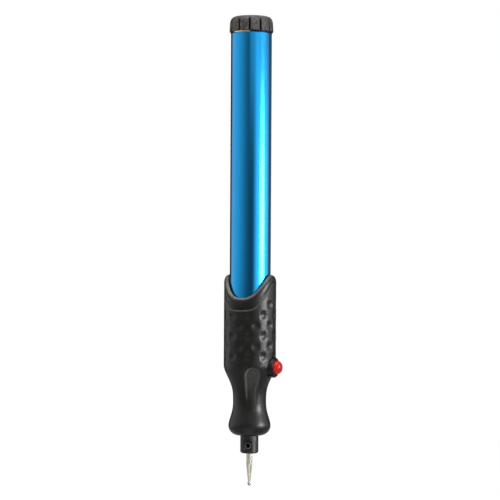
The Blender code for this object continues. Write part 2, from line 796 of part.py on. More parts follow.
def make_motor_case():
    middle = (motor_bottom + motor_top) / 2
    can_mesh = plate_mesh(
        "motor_can", [flatted_outline(motor_radius, motor_half_flat)], MOTOR_LENGTH
    )
    can = add_part("motor_can", can_mesh, "bright steel", (0, 0, middle))
    hollow = plate_mesh(
        "can_hollow",
        [flatted_outline(motor_radius - CAN_WALL, motor_half_flat - CAN_WALL)],
        MOTOR_LENGTH,
    )
    combine(can, add_cutter("can_hollow", hollow, (0, 0, middle + CAN_WALL)), "DIFFERENCE")
    boss = cylinder_mesh("can_boss", CAN_BOSS_DIAMETER / 2, -CAN_BOSS_HEIGHT, CAN_WALL / 2)
    combine(can, add_cutter("can_boss", boss, (0, 0, motor_bottom)), "UNION")
    bearing = cylinder_mesh("can_bearing", shaft_radius + RUN_GAP, -MOTOR_LENGTH / 2, MOTOR_LENGTH / 2)
    combine(can, add_cutter("can_bearing", bearing, (0, 0, motor_bottom)), "DIFFERENCE")

    slot_half_width = BRUSH_WIDTH / 2 + TAG_SLACK
    slot_half_depth = BRUSH_THICKNESS / 2 + TAG_SLACK
    holes = [circle(shaft_radius + RUN_GAP)]
    for way in (-1, 1):
        slot_middle = way * BRUSH_OFFSET
        holes.append(
            rectangle(
                -slot_half_width,
                slot_half_width,
                slot_middle - slot_half_depth,
                slot_middle + slot_half_depth,
            )
        )
    bell = plate_curve(
        "motor_end_bell",
        [flatted_outline(motor_radius, motor_half_flat), *holes],
        END_BELL_THICKNESS,
    )
    add_part("motor_end_bell", bell, "white nylon", (0, 0, (bell_bottom + bell_top) / 2))


def pole_outline(rotor_radius):
    # One third of the armature's outline, centred on +X, from hub to hub.
    hub = ROTOR_HUB_DIAMETER / 2
    inner = rotor_radius - POLE_SHOE_THICKNESS
    half_pole = POLE_WIDTH / 2
    hub_turn = math.asin(half_pole / hub)
    shoe_turn = math.asin(half_pole / inner)
    half_shoe = POLE_SHOE_ANGLE / 2
    center = (0, 0)
    return (
        arc(center, hub, -math.pi / 3, -hub_turn, 3)
        + arc(center, inner, -shoe_turn, -half_shoe, 4)
        + arc(center, rotor_radius, -half_shoe, half_shoe, 9)
        + arc(center, inner, half_shoe, shoe_turn, 4)
        + arc(center, hub, hub_turn, math.pi / 3, 3)[:-1]
    )


def turned_about(points, angle):
    c = math.cos(angle)
    s = math.sin(angle)
    return [(c * x - s * y, s * x + c * y) for x, y in points]


def make_motor_inside():
    can_floor = motor_bottom + CAN_WALL
    rotor_radius = motor_half_flat - CAN_WALL - AIR_GAP
    overhang = WINDING_THICKNESS + PRESS_GAP
    core_bottom = can_floor + ROTOR_CLEARANCE + overhang
    commutator_top = motor_top - ROTOR_CLEARANCE
    commutator_bottom = commutator_top - COMMUTATOR_LENGTH
    core_top = commutator_bottom - ROTOR_CLEARANCE - overhang
    core_middle = (core_bottom + core_top) / 2
    core_length = core_top - core_bottom

    outline = []
    for i in range(3):
        outline += turned_about(pole_outline(rotor_radius), math.tau * i / 3)
    core = plate_curve("armature_core", [outline, circle(shaft_radius + PRESS_GAP)], core_length)
    add_part("armature_core", core, "bright steel", (0, 0, core_middle))

    half_inside = POLE_WIDTH / 2 + PRESS_GAP
    half_outside = half_inside + WINDING_THICKNESS
    inner = ROTOR_HUB_DIAMETER / 2 + SEAT_GAP
    shoe = rotor_radius - POLE_SHOE_THICKNESS
    outer = math.sqrt(shoe**2 - half_outside**2) - PRESS_GAP
    half_length = core_length / 2 + PRESS_GAP
    for i, name in enumerate(("winding_a", "winding_b", "winding_c")):
        turn = (0, 0, math.tau * i / 3)
        full = half_length + WINDING_THICKNESS
        coil = box_mesh(name, ((inner, -half_outside, -full), (outer, half_outside, full)))
        winding = add_part(name, coil, "copper", (0, 0, core_middle), turn)
        pole = box_mesh(
            name + "_pole",
            ((0, -half_inside, -half_length), (rotor_radius, half_inside, half_length)),
        )
        combine(winding, add_cutter(name + "_pole", pole, (0, 0, core_middle), turn), "DIFFERENCE")

    commutator_radius = COMMUTATOR_DIAMETER / 2
    turned(
        "commutator",
        [
            (commutator_radius, COMMUTATOR_LENGTH),
            (commutator_radius, 0),
            (shaft_radius + PRESS_GAP, 0),
            (shaft_radius + PRESS_GAP, COMMUTATOR_LENGTH),
        ],
        "copper",
        (0, 0, commutator_bottom),
        steps=FINE_STEPS,
    )

    magnet_outside = motor_radius - CAN_WALL - PRESS_GAP
    magnet_inside = rotor_radius + AIR_GAP
    half_magnet = math.asin((motor_half_flat - CAN_WALL - PRESS_GAP) / magnet_outside)
    start = math.pi / 2 - half_magnet
    end = math.pi / 2 + half_magnet
    magnet = arc((0, 0), magnet_outside, start, end, 11) + arc((0, 0), magnet_inside, end, start, 11)
    for name, turn in (("motor_magnet_back", 0), ("motor_magnet_front", math.pi)):
        data = plate_curve(name, [magnet], core_length)
        add_part(name, data, "ferrite", (0, 0, core_middle), (0, 0, turn))

    arm_height = (commutator_bottom + commutator_top) / 2 - bell_top
    arm_inside = commutator_radius + SEAT_GAP
    half_strip = BRUSH_THICKNESS / 2
    brush = [
        (BRUSH_OFFSET - half_strip, BRUSH_TAG_RISE),
        (BRUSH_OFFSET - half_strip, arm_height + BRUSH_THICKNESS),
        (arm_inside, arm_height + BRUSH_THICKNESS),
        (arm_inside, arm_height),
        (BRUSH_OFFSET + half_strip, arm_height),
        (BRUSH_OFFSET + half_strip, BRUSH_TAG_RISE),
    ]
    for name, way in (("brush_back", 1), ("brush_front", -1)):
        data = plate_curve(name, [brush], BRUSH_WIDTH)
        stand = (math.pi / 2, 0, way * math.pi / 2)
        add_part(name, data, "brass", (0, 0, bell_top), stand)

    shaft_top = bell_top - SEAT_GAP
    shaft_bottom = chuck_top - SHAFT_SEAT_DEPTH + SEAT_GAP
    turned(
        "motor_shaft",
        [
            (0, shaft_top),
            (shaft_radius - SHAFT_EDGE, shaft_top),
            (shaft_radius, shaft_top - SHAFT_EDGE),
            (shaft_radius, shaft_bottom + SHAFT_EDGE),
            (shaft_radius - SHAFT_EDGE, shaft_bottom),
            (0, shaft_bottom),
        ],
        "bright steel",
        steps=FINE_STEPS,
    )


def make_nose():
    turned(
        "nose_bush",
        [
            (bush_radius, bush_top),
            (bush_radius, bush_flange_top),
            (bush_flange_radius, bush_flange_top),
            (bush_flange_radius, bush_bottom),
            (shaft_radius + RUN_GAP, bush_bottom),
            (shaft_radius + RUN_GAP, bush_top),
        ],
        "bronze",
        steps=FINE_STEPS,
    )
    shaft_hole = shaft_radius + PRESS_GAP
    shank_radius = BURR_SHANK_DIAMETER / 2
    shank_hole = shank_radius + BURR_SLACK
    shank_hole_depth = BURR_GRIP_DEPTH + SEAT_GAP
    seat = CHUCK_LENGTH - SHAFT_SEAT_DEPTH
    chuck = turned(
        "chuck",
        [
            (0, seat),
            (shaft_hole, seat),
            (shaft_hole, CHUCK_LENGTH),
            (chuck_radius - CHUCK_EDGE, CHUCK_LENGTH),
            (chuck_radius, CHUCK_LENGTH - CHUCK_EDGE),
            (chuck_radius, CHUCK_EDGE),
            (chuck_radius - CHUCK_EDGE, 0),
            (shank_hole, 0),
            (shank_hole, shank_hole_depth),
            (0, shank_hole_depth),
        ],
        "black steel",
        (0, 0, chuck_bottom),
    )
    radial = (0, math.pi / 2, GRUB_ANGLE)
    grub_place = (0, 0, grub_height)
    grub_radius = GRUB_DIAMETER / 2
    hole = cylinder_mesh("grub_hole", grub_radius + GRUB_SLACK, 0, CHUCK_DIAMETER)
    combine(chuck, add_cutter("grub_hole", hole, grub_place, radial), "DIFFERENCE")
    grub_outside = chuck_radius - GRUB_RECESS
    grub_mesh = cylinder_mesh("grub_screw", grub_radius, shank_radius + SEAT_GAP, grub_outside)
    grub = add_part("grub_screw", grub_mesh, "black steel", grub_place, radial)
    socket_radius = HEX_SOCKET / math.sqrt(3)
    socket = cylinder_mesh(
        "hex_socket", socket_radius, grub_outside - HEX_DEPTH, grub_outside + HEX_DEPTH, 6
    )
    combine(grub, add_cutter("hex_socket", socket, grub_place, radial), "DIFFERENCE")

    burr_length = burr_top - burr_tip
    ball_radius = BURR_BALL_DIAMETER / 2
    neck_radius = BURR_NECK_DIAMETER / 2
    taper_top = BURR_BALL_LENGTH + BURR_TAPER_LENGTH
    ball_middle = BURR_BALL_LENGTH / 2
    half_neck = math.asin(neck_radius / ball_radius)
    profile = [
        (0, burr_length),
        (shank_radius - SHAFT_EDGE, burr_length),
        (shank_radius, burr_length - SHAFT_EDGE),
        (shank_radius, taper_top),
        (neck_radius, BURR_BALL_LENGTH),
    ]
    for i in range(1, 7):
        turn = half_neck + (math.pi - half_neck) * i / 6
        height = ball_middle * (1 + math.cos(turn))
        profile.append((ball_radius * math.sin(turn) if i < 6 else 0, height))
    turned("engraving_burr", profile, "bright steel", (0, 0, burr_tip), steps=FINE_STEPS)


def make_button():
    along_x = (0, math.pi / 2, 0)
    on_axis = (0, 0, BUTTON_RISE)
    button_radius = BUTTON_DIAMETER / 2
    flange_radius = BUTTON_FLANGE_DIAMETER / 2
    stem_radius = BUTTON_STEM_DIAMETER / 2
    dome = [(0, button_tip)]
    for i in range(1, 6):
        turn = math.pi / 2 * i / 5
        height = bezel_face + BUTTON_PROUD * math.cos(turn)
        dome.append((button_radius * math.sin(turn), height))
    turned(
        "push_button",
        dome
        + [
            (button_radius, button_flange_front),
            (flange_radius, button_flange_front),
            (flange_radius, button_flange_back),
            (stem_radius, button_flange_back),
            (stem_radius, button_stem_end),
            (0, button_stem_end),
        ],
        "red plastic",
        on_axis,
        along_x,
    )
    front_radius = bezel_radius - BEZEL_STEP
    bore = button_radius + BUTTON_SLACK
    chamber = flange_radius + BUTTON_SLACK
    turned(
        "switch_bezel",
        [
            (front_radius, bezel_face),
            (front_radius, bezel_face - BEZEL_STEP_DEPTH),
            (bezel_radius, bezel_face - BEZEL_STEP_DEPTH),
            (bezel_radius, bezel_back),
            (chamber, bezel_back),
            (chamber, bezel_shoulder),
            (bore, bezel_shoulder),
            (bore, bezel_face),
        ],
        "black moulding",
        on_axis,
        along_x,
    )
    room = SEAT_GAP + BUTTON_SPRING_WIRE / 2
    coil = coil_points(
        BUTTON_SPRING_DIAMETER, switch_front + room, button_flange_back - room, BUTTON_SPRING_TURNS
    )
    print_coil_gap("button_spring", coil, BUTTON_SPRING_WIRE)
    spring = tube_curve("button_spring", coil, BUTTON_SPRING_WIRE / 2, 1)
    add_part("button_spring", spring, "bright steel", on_axis, along_x)


def make_switch():
    on_axis = (0, 0, BUTTON_RISE)
    half_width = SWITCH_WIDTH / 2
    half_height = SWITCH_HEIGHT / 2
    housing_mesh = box_mesh(
        "switch_housing",
        ((SWITCH_BACK, -half_width, -half_height), (switch_front, half_width, half_height)),
    )
    housing = add_part("switch_housing", housing_mesh, "black moulding", on_axis)
    inside = box_mesh(
        "switch_inside",
        (
            (0, SWITCH_WALL - half_width, SWITCH_WALL - half_height),
            (switch_front - SWITCH_WALL, half_width - SWITCH_WALL, half_height - SWITCH_WALL),
        ),
    )
    combine(housing, add_cutter("switch_inside", inside, on_axis), "DIFFERENCE")
    stem_hole = cylinder_mesh(
        "stem_hole", BUTTON_STEM_DIAMETER / 2 + BUTTON_SLACK, button_stem_end - SWITCH_DEPTH, button_tip
    )
    along_x = (0, math.pi / 2, 0)
    combine(housing, add_cutter("stem_hole", stem_hole, on_axis, along_x), "DIFFERENCE")

    outside = half_width - SWITCH_WALL - TAG_SLACK
    inside_end = -TAG_WIDTH
    half_strip = STRIP_HEIGHT / 2
    tag_top = half_height + TAG_RISE
    for name, way, back in (("switch_leaf", -1, leaf_back), ("switch_contact", 1, contact_strip_back)):
        outline = [
            (way * outside, -half_strip),
            (way * inside_end, -half_strip),
            (way * inside_end, half_strip),
            (way * (outside - TAG_WIDTH), half_strip),
            (way * (outside - TAG_WIDTH), tag_top),
            (way * outside, tag_top),
        ]
        place = (back + STRIP_THICKNESS / 2, 0, BUTTON_RISE)
        stand = (math.pi / 2, 0, math.pi / 2)
        add_part(name, plate_curve(name, [outline], STRIP_THICKNESS), "brass", place, stand)
        across = sorted((way * (outside - TAG_WIDTH - TAG_SLACK), way * (outside + TAG_SLACK)))
        slot = box_mesh(
            name + "_slot",
            (
                (back - TAG_SLACK, across[0], 0),
                (back + STRIP_THICKNESS + TAG_SLACK, across[1], SWITCH_HEIGHT),
            ),
        )
        combine(housing, add_cutter(name + "_slot", slot, on_axis), "DIFFERENCE")


def smooth_route(points, step):
    # Points about one step apart on a smooth curve through the chosen points.
    knots = [Vector(point) for point in points]
    ends = [2 * knots[0] - knots[1], *knots, 2 * knots[-1] - knots[-2]]
    route = [knots[0]]
    for i in range(1, len(ends) - 2):
        before, start, end, after = ends[i - 1 : i + 3]
        count = max(2, round((end - start).length / step))
        for j in range(1, count + 1):
            t = j / count
            route.append(
                0.5
                * (
                    2 * start
                    + (end - before) * t
                    + (2 * before - 5 * start + 4 * end - after) * t**2
                    + (3 * start - before - 3 * end + after) * t**3
                )
            )
    return route


def add_lead(name, points, finish):
    route = smooth_route(points, 2.5 * LEAD_DIAMETER)
    add_part(name, tube_curve(name, route, lead_radius, 2), finish)


def make_leads():
    clear = lead_radius + LEAD_ROOM
    tag_side = BRUSH_WIDTH / 2 + LEAD_ROOM
    over_bell = bell_top + clear
    beside_motor = motor_half_flat + clear
    over_switch = switch_top + clear
    leaf_tag = SWITCH_WIDTH / 2 - SWITCH_WALL - TAG_SLACK - TAG_WIDTH / 2
    shank = CONTACT_SHANK_DIAMETER / 2 + LEAD_ROOM
    brush_face = BRUSH_OFFSET - BRUSH_THICKNESS / 2 - LEAD_ROOM
    add_lead(
        "lead_positive",
        [
            (0, shank, carrier_bottom - clear),
            (0, shank + LEAD_DIAMETER, carrier_bottom - clear - lead_radius),
            (0, brush_face - LEAD_DIAMETER, over_bell + lead_radius),
            (0, brush_face, over_bell),
        ],
        "red sheath",
    )
    down_the_side = [
        (beside_motor, LEAD_SPREAD, bell_bottom - LEAD_DIAMETER),
        (beside_motor, LEAD_SPREAD, (motor_bottom + motor_top) / 2),
        (beside_motor, LEAD_SPREAD, motor_bottom + LEAD_DIAMETER),
        (motor_half_flat, LEAD_SPREAD, motor_bottom - clear),
    ]
    add_lead(
        "lead_motor",
        [
            (tag_side, -BRUSH_OFFSET, over_bell),
            (tag_side + 2 * LEAD_DIAMETER, -BRUSH_OFFSET, over_bell),
            (motor_half_flat - lead_radius, -LEAD_SPREAD - LEAD_DIAMETER, over_bell),
            (beside_motor, -LEAD_SPREAD, bell_top),
            *[(x, -y, z) for x, y, z in down_the_side],
            (switch_front, -leaf_tag, over_switch),
            (leaf_front + LEAD_ROOM, -leaf_tag, over_switch),
        ],
        "black sheath",
    )
    tab_under = carrier_bottom - FACE_GAP - CONTACT_THICKNESS - clear
    add_lead(
        "lead_ground",
        [
            (tube_bore - CLIP_TAB, LEAD_SPREAD - LEAD_DIAMETER, tab_under),
            (beside_motor - lead_radius, LEAD_SPREAD - lead_radius, tab_under),
            (beside_motor, LEAD_SPREAD, bell_top),
            *down_the_side,
            (switch_front, leaf_tag, over_switch),
            (contact_strip_back + STRIP_THICKNESS + LEAD_ROOM, leaf_tag, over_switch),
        ],
        "black sheath",
    )


clear_scene()
parts = new_collection("engraving_pen")
cutters = new_collection("cutters")
tool_frame = bpy.data.objects.new("tool_frame", None)
parts.objects.link(tool_frame)

make_grip()
make_tube_and_cells()
make_cap()
make_tube_contacts()
make_motor_case()
make_motor_inside()
make_nose()
make_button()
make_switch()
make_leads()
print(f"burr tip at {1000 * burr_tip:.1f} mm, cap top at {1000 * cap_top:.1f} mm")
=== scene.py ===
from math import asin, cos, pi, radians, sin, sqrt, tan, tau

import bmesh
import bpy
from mathutils import Matrix, Vector


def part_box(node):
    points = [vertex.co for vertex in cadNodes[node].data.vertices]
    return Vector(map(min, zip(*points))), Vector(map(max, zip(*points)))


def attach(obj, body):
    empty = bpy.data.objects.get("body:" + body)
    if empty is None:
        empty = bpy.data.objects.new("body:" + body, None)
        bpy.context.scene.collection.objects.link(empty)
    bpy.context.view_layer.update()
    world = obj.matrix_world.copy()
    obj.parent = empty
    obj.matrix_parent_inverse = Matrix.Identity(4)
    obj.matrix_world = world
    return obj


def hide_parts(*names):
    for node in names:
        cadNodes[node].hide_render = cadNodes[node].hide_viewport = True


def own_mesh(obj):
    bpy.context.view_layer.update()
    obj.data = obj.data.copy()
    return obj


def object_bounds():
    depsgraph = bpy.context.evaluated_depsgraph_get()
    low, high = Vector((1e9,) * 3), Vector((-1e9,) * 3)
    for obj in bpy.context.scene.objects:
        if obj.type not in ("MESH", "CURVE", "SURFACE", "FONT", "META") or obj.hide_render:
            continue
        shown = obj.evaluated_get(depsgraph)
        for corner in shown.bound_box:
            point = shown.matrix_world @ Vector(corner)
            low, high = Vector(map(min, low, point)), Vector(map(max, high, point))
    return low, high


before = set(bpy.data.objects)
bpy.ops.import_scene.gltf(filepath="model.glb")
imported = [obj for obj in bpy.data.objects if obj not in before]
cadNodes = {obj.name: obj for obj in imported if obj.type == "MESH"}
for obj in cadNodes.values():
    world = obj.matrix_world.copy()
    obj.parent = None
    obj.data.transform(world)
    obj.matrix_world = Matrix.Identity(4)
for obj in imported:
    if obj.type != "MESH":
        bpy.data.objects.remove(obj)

mm = 0.001
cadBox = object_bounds()
alongX = Matrix.Rotation(pi / 2, 4, "Y")  # turns a lathe's Z axis to X

def inMm(**sizes):  # settings that are lengths in millimetres
    return {name: size * mm for name, size in sizes.items()}

# Node maths: a socket that takes part in plain expressions, in shader and geometry trees alike
class Wire:
    def __init__(self, tree, socket=None):
        self.tree = tree
        self.socket = socket

    def add(self, kind, settings=None, sockets=None, output=0):
        node = self.tree.nodes.new(kind)
        for name, value in (settings or {}).items():
            setattr(node, name, value)
        for name, value in (sockets or {}).items():
            if isinstance(value, Wire):
                self.tree.links.new(value.socket, node.inputs[name])
            else:
                node.inputs[name].default_value = value
        return Wire(self.tree, node.outputs[output])

    def calc(self, operation, *values):
        return self.add("ShaderNodeMath", {"operation": operation}, dict(enumerate(values)))

    def smooth(self, low, high):  # 0 at low, 1 at high, eased between
        spans = {"Value": self, "From Min": low, "From Max": high}
        return self.add("ShaderNodeMapRange", {"interpolation_type": "SMOOTHSTEP"}, spans)

    def atMost(self, other):
        return self.calc("MINIMUM", self, other)

    def atLeast(self, other):
        return self.calc("MAXIMUM", self, other)

    def parts(self):
        split = self.add("ShaderNodeSeparateXYZ", None, {0: self}).socket.node
        return [Wire(self.tree, socket) for socket in split.outputs]

    def blend(self, first, second):  # colour between two, by this factor
        first, second = (end if isinstance(end, Wire) else (*end, 1) for end in (first, second))
        ends = {0: self, 6: first, 7: second}
        return self.add("ShaderNodeMix", {"data_type": "RGBA"}, ends, output=2)

def addSign(name, operation):  # lets one of Python's signs add a Math node
    setattr(Wire, f"__{name}__", lambda self, other: self.calc(operation, self, other))
    setattr(Wire, f"__r{name}__", lambda self, other: self.calc(operation, other, self))

signs = {"add": "ADD", "sub": "SUBTRACT", "mul": "MULTIPLY", "truediv": "DIVIDE", "pow": "POWER"}
for name, operation in signs.items():
    addSign(name, operation)

# Meshes
def ease(t):
    t = min(max(t, 0.0), 1.0)
    return t * t * (3 - 2 * t)

def steps(low, high, count):  # even values from low, stopping short of high
    return [low + (high - low) * i / count for i in range(count)]

def filleted(corners, cuts):  # (radius, height, fillet) corners to a smooth outline
    outline = []
    for i, (radius, height, fillet) in enumerate(corners):
        here = Vector((radius, height))
        if not fillet:
            outline.append((radius, height))
            continue
        before = Vector(corners[i - 1][:2]) - here
        after = Vector(corners[(i + 1) % len(corners)][:2]) - here
        reach = fillet / tan(before.angle(after) / 2)
        start = here + before.normalized() * reach
        end = here + after.normalized() * reach
        for k in range(cuts + 1):
            t = k / cuts
            outline.append(tuple(start * (1 - t) ** 2 + here * 2 * t * (1 - t) + end * t * t))
    return outline

def supported(outline, near=0.1 * mm, least=1.2 * mm):
    # adds rings near the ends of long walls, which keep their shading straight
    points = [outline[0]]
    for one, two in zip(outline, outline[1:]):
        along = Vector(two) - Vector(one)
        if along.length > least and min(one[0], two[0]) > 0:
            step = along * (near / along.length)
            points += [tuple(Vector(one) + step), tuple(Vector(two) - step)]
        points.append(two)
    return points

def latheMesh(name, outline, sides):  # turns a closed outline about Z
    body = bmesh.new()
    rings = []
    for radius, height in supported(outline):
        count = sides if radius > 1e-7 else 1
        turns = [tau * i / sides for i in range(count)]
        spots = [(radius * cos(a), radius * sin(a), height) for a in turns]
        rings.append([body.verts.new(spot) for spot in spots])
    closing = [] if len(rings[0]) == 1 else [(rings[-1], rings[0])]
    for one, two in [*zip(rings, rings[1:]), *closing]:
        for i in range(sides):
            j = (i + 1) % sides
            corners = [one[i % len(one)], one[j % len(one)], two[j % len(two)], two[i % len(two)]]
            corners = list(dict.fromkeys(corners))
            if len(corners) > 2:
                body.faces.new(corners)
    return closedMesh(name, body)

def plainMesh(name, body):
    mesh = bpy.data.meshes.new(name)
    body.to_mesh(mesh)
    body.free()
    return mesh

def closedMesh(name, body):
    bmesh.ops.recalc_face_normals(body, faces=body.faces)
    return plainMesh(name, body)

def smoothed(mesh, angle=38):
    mesh.shade_smooth()
    mesh.set_sharp_from_angle(angle=radians(angle))
    return mesh

def scratchObject(mesh):
    obj = bpy.data.objects.new(mesh.name, mesh)
    bpy.context.scene.collection.objects.link(obj)
    return obj

def evaluatedMesh(obj):  # what the modifiers make of an object, as a plain mesh
    bpy.context.view_layer.update()
    graph = bpy.context.evaluated_depsgraph_get()
    mesh = bpy.data.meshes.new_from_object(obj.evaluated_get(graph))
    bpy.data.objects.remove(obj, do_unlink=True)
    return mesh

def cutMesh(mesh, *cutters):
    obj = scratchObject(mesh)
    tools = [scratchObject(cutter) for cutter in cutters]
    for tool in tools:
        modifier = obj.modifiers.new("Cut", "BOOLEAN")
        modifier.operation = "DIFFERENCE"
        modifier.object = tool
    result = evaluatedMesh(obj)
    for tool in tools:
        bpy.data.objects.remove(tool, do_unlink=True)
    return result

def newTree(name, values, *lengths):  # the wires of a new geometry tree's named inputs
    inputs = {label: "Int" if isinstance(values[label], int) else "Float" for label in values}
    inputs.update({**dict.fromkeys(lengths, "Float"), "Material": "Material"})
    tree = bpy.data.node_groups.new(name, "GeometryNodeTree")
    tree.interface.new_socket("Geometry", in_out="OUTPUT", socket_type="NodeSocketGeometry")
    tree.interface.new_socket("Geometry", in_out="INPUT", socket_type="NodeSocketGeometry")
    for label, kind in inputs.items():
        tree.interface.new_socket(label, in_out="INPUT", socket_type="NodeSocket" + kind)
    entry = tree.nodes.new("NodeGroupInput")
    return {socket.name: Wire(tree, socket) for socket in entry.outputs if socket.name}

def marked(geometry, label, mask):  # keeps a mask on the mesh, for its finish
    kept = {"Geometry": geometry, "Name": label, "Value": mask}
    return mask.add("GeometryNodeStoreNamedAttribute", {"data_type": "FLOAT"}, kept)

def pressedIn(geometry, x, y, radius, depth):  # moves points towards the axis
    push = (0 - depth) / radius
    offset = push.add("ShaderNodeCombineXYZ", None, {0: x * push, 1: y * push})
    return push.add("GeometryNodeSetPosition", None, {"Geometry": geometry, "Offset": offset})

def endTree(geometry, material):
    real = geometry.add("GeometryNodeRealizeInstances", None, {0: geometry})
    painted = real.add("GeometryNodeSetMaterial", None, {"Geometry": real, "Material": material})
    tree = painted.tree
    tree.links.new(painted.socket, tree.nodes.new("NodeGroupOutput").inputs[0])
    return tree

def runTree(mesh, tree, values):
    obj = scratchObject(mesh)
    modifier = obj.modifiers.new(tree.name, "NODES")
    modifier.node_group = tree
    for item in tree.interface.items_tree:
        if item.in_out == "INPUT" and item.name in values:
            modifier[item.identifier] = values[item.name]
    return evaluatedMesh(obj)

def addPiece(name, mesh, finish, body, slot, *stands):
    mesh.name = name
    mesh.materials.clear()
    mesh.materials.append(finishes[finish])
    piece = scratchObject(mesh)
    piece.name = name
    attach(piece, body)
    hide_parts(*stands)
    return piece

# Finishes
def newMaterial(name):
    material = bpy.data.materials.new(name)
    material.use_nodes = True
    return material

def newFinish(name):  # a material, and the object's own coordinates for its patterns
    material = newMaterial(name)
    return material, Wire(material.node_tree).add("ShaderNodeTexCoord", output=3)

def feed(material, **sockets):  # a wire is linked, a number or colour is set on the socket itself
    shader = material.node_tree.nodes["Principled BSDF"]
    for label, value in sockets.items():
        name = " ".join(word.capitalize() for word in label.split("_")).replace("Ior", "IOR")
        if isinstance(value, Wire):
            value.tree.links.new(value.socket, shader.inputs[name])
        else:
            shader.inputs[name].default_value = value
    return material

def scaled(place, size):  # coordinates that count in units of size, one or three numbers in mm
    sizes = size if isinstance(size, tuple) else (size, size, size)
    return place.add("ShaderNodeMapping", None, {0: place, 3: tuple(1 / (s * mm) for s in sizes)})

def noise(place, size, detail=3.0, rough=0.55):
    sockets = {"Vector": scaled(place, size), "Scale": 1.0, "Detail": detail, "Roughness": rough}
    return place.add("ShaderNodeTexNoise", None, sockets)

def cells(place, size):
    return place.add("ShaderNodeTexVoronoi", None, {"Vector": scaled(place, size), "Scale": 1.0})

def bump(height, depth, strength):  # depth in mm
    sockets = {"Strength": strength, "Distance": depth * mm, "Height": height}
    return height.add("ShaderNodeBump", None, sockets)

def attribute(place, name):
    return place.add("ShaderNodeAttribute", {"attribute_name": name}, output=2)

def edgeWear(place, low, high):  # bare convex edges, broken up by grime
    edges = place.add("ShaderNodeNewGeometry", output=7)
    return edges.smooth(low, high) * noise(place, 0.9).smooth(0.35, 0.65)

def gripPlastic():
    material, place = newFinish("gripPlastic")
    grain = noise(place, 0.16, 2.0)
    cloud = noise(place, 7)
    scoop = attribute(place, "scoop")
    stipple = cells(place, 0.62).smooth(0.42, 0.16) * scoop
    rub = edgeWear(place, 0.53, 0.6)
    # the lip mask: where the painted highlight goes, broken up by noise
    lip = attribute(place, "lip") * noise(place, 0.7).smooth(0.2, 0.6)
    scoopRimHighlight = attribute(place, "scoopRimHighlight")
    shade = cloud.blend((0.005, 0.005, 0.0046), (0.008, 0.008, 0.0073))
    # lighter in the scoops: the stipple is the plastic's own texture, the lighter scoop floor is
    # painted light
    shade = (0.4 * scoop**2 + 0.5 * stipple).blend(shade, (0.05, 0.05, 0.048))
    # painted highlight on the scoop's rim
    shade = scoopRimHighlight.blend(shade, (0.1, 0.1, 0.096))
    # painted highlight in cream on the rim's lip and the crease's edge
    shade = lip.blend(shade, (0.2, 0.175, 0.14))
    return feed(
        material,
        base_color=rub.blend(shade, (0.03, 0.03, 0.029)),
        roughness=0.26 + 0.08 * cloud + 0.05 * grain + 0.12 * scoop,
        normal=bump(grain * 0.4 + stipple * 4.0, 0.03, 0.6),
        specular_ior_level=0.25,
    )

def capPlastic():
    material, place = newFinish("capPlastic")
    grain = noise(place, 0.8, 4.0, 0.75)
    pits = cells(place, 0.6)
    dust = noise(place, 2.4).smooth(0.45, 0.75)
    rub = edgeWear(place, 0.52, 0.58)
    grooveShade = attribute(place, "grooveShade")
    shade = grain.smooth(0.38, 0.64).blend((0.003, 0.0028, 0.0026), (0.065, 0.06, 0.055))
    worn = rub.blend(shade, (0.09, 0.084, 0.078))
    return feed(
        material,
        # painted shade: the grooves are near-black
        base_color=grooveShade.blend(worn, (0.002, 0.002, 0.002)),
        metallic=0.9 * grooveShade,  # painted shade: the grooves also lose their sheen
        roughness=0.4 + 0.16 * grain + 0.06 * dust,
        normal=bump(grain + 0.5 * pits, 0.25, 0.9),
        specular_ior_level=0.35,
    )

def blueAnodised():
    material, place = newFinish("blueAnodised")
    drawn = noise(place, (0.25, 0.25, 60), 4.0)  # drawn along the tube
    cloud = noise(place, (9, 9, 30))
    specks = cells(place, 1.6).smooth(0.1, 0.04)
    shade = cloud.blend((0.0015, 0.235, 0.54), (0.0025, 0.265, 0.6))
    return feed(
        material,
        base_color=(specks * 0.3).blend(shade, (0.03, 0.33, 0.65)),
        metallic=1.0,
        roughness=0.13 + 0.05 * drawn + 0.03 * cloud,
        normal=bump(drawn, 0.004, 0.5),
        coat_weight=0.33,
        coat_roughness=0.2,  # hazier than the metal, so that the highlight pales at its edges
    )

def plainPlastic(name, dark, bright, sizes, roughs, relief, **more):
    # sizes of the clouds and the grain, roughness and what each adds to it, bump depth and strength
    material, place = newFinish(name)
    cloud = noise(place, sizes[0])
    skin = noise(place, sizes[1], 2.0)
    return feed(
        material,
        base_color=cloud.blend(dark, bright),
        roughness=roughs[0] + roughs[1] * cloud + roughs[2] * skin,
        normal=bump(skin, *relief),
        **more,
    )

def sheath(name, dark, bright):
    sizes = (1.5, (0.2, 0.2, 1.2))
    return plainPlastic(name, dark, bright, sizes, (0.3, 0, 0.12), (0.015, 0.5))

def glossBlack():
    material, place = newFinish("glossBlack")
    grain = noise(place, 0.12, 2.0)
    cloud = noise(place, 2.5)
    rub = edgeWear(place, 0.54, 0.62)
    return feed(
        material,
        base_color=rub.blend((0.003, 0.003, 0.0032), (0.04, 0.04, 0.04)),
        roughness=0.2 + 0.1 * cloud + 0.05 * grain,
        normal=bump(grain, 0.01, 0.3),
        specular_ior_level=0.32,
    )

def turnedMetal(name, dark, bright, rough, pitch, wear=None, depth=0.006):
    # fine rings from the lathe, cloudy tone and bare edges
    material, place = newFinish(name)
    rings = noise(place, (40, 40, pitch), 3.0, 0.7)
    cloud = noise(place, 1.6, 4.0)
    tone = (0.6 * cloud + 0.4 * rings).smooth(0.3, 0.7).blend(dark, bright)
    if wear:
        tone = edgeWear(place, 0.52, 0.58).blend(tone, wear)
    return feed(
        material,
        base_color=tone,
        metallic=1.0,
        roughness=rough + 0.12 * cloud + 0.08 * rings,
        normal=bump(rings, depth, 0.5),
    )

# where the bush is plain brass and where the painted shade starts
brassShading = {"plainSide": -97, "plainHalf": 20, "shadeFrom": 27}  # degrees about the axis

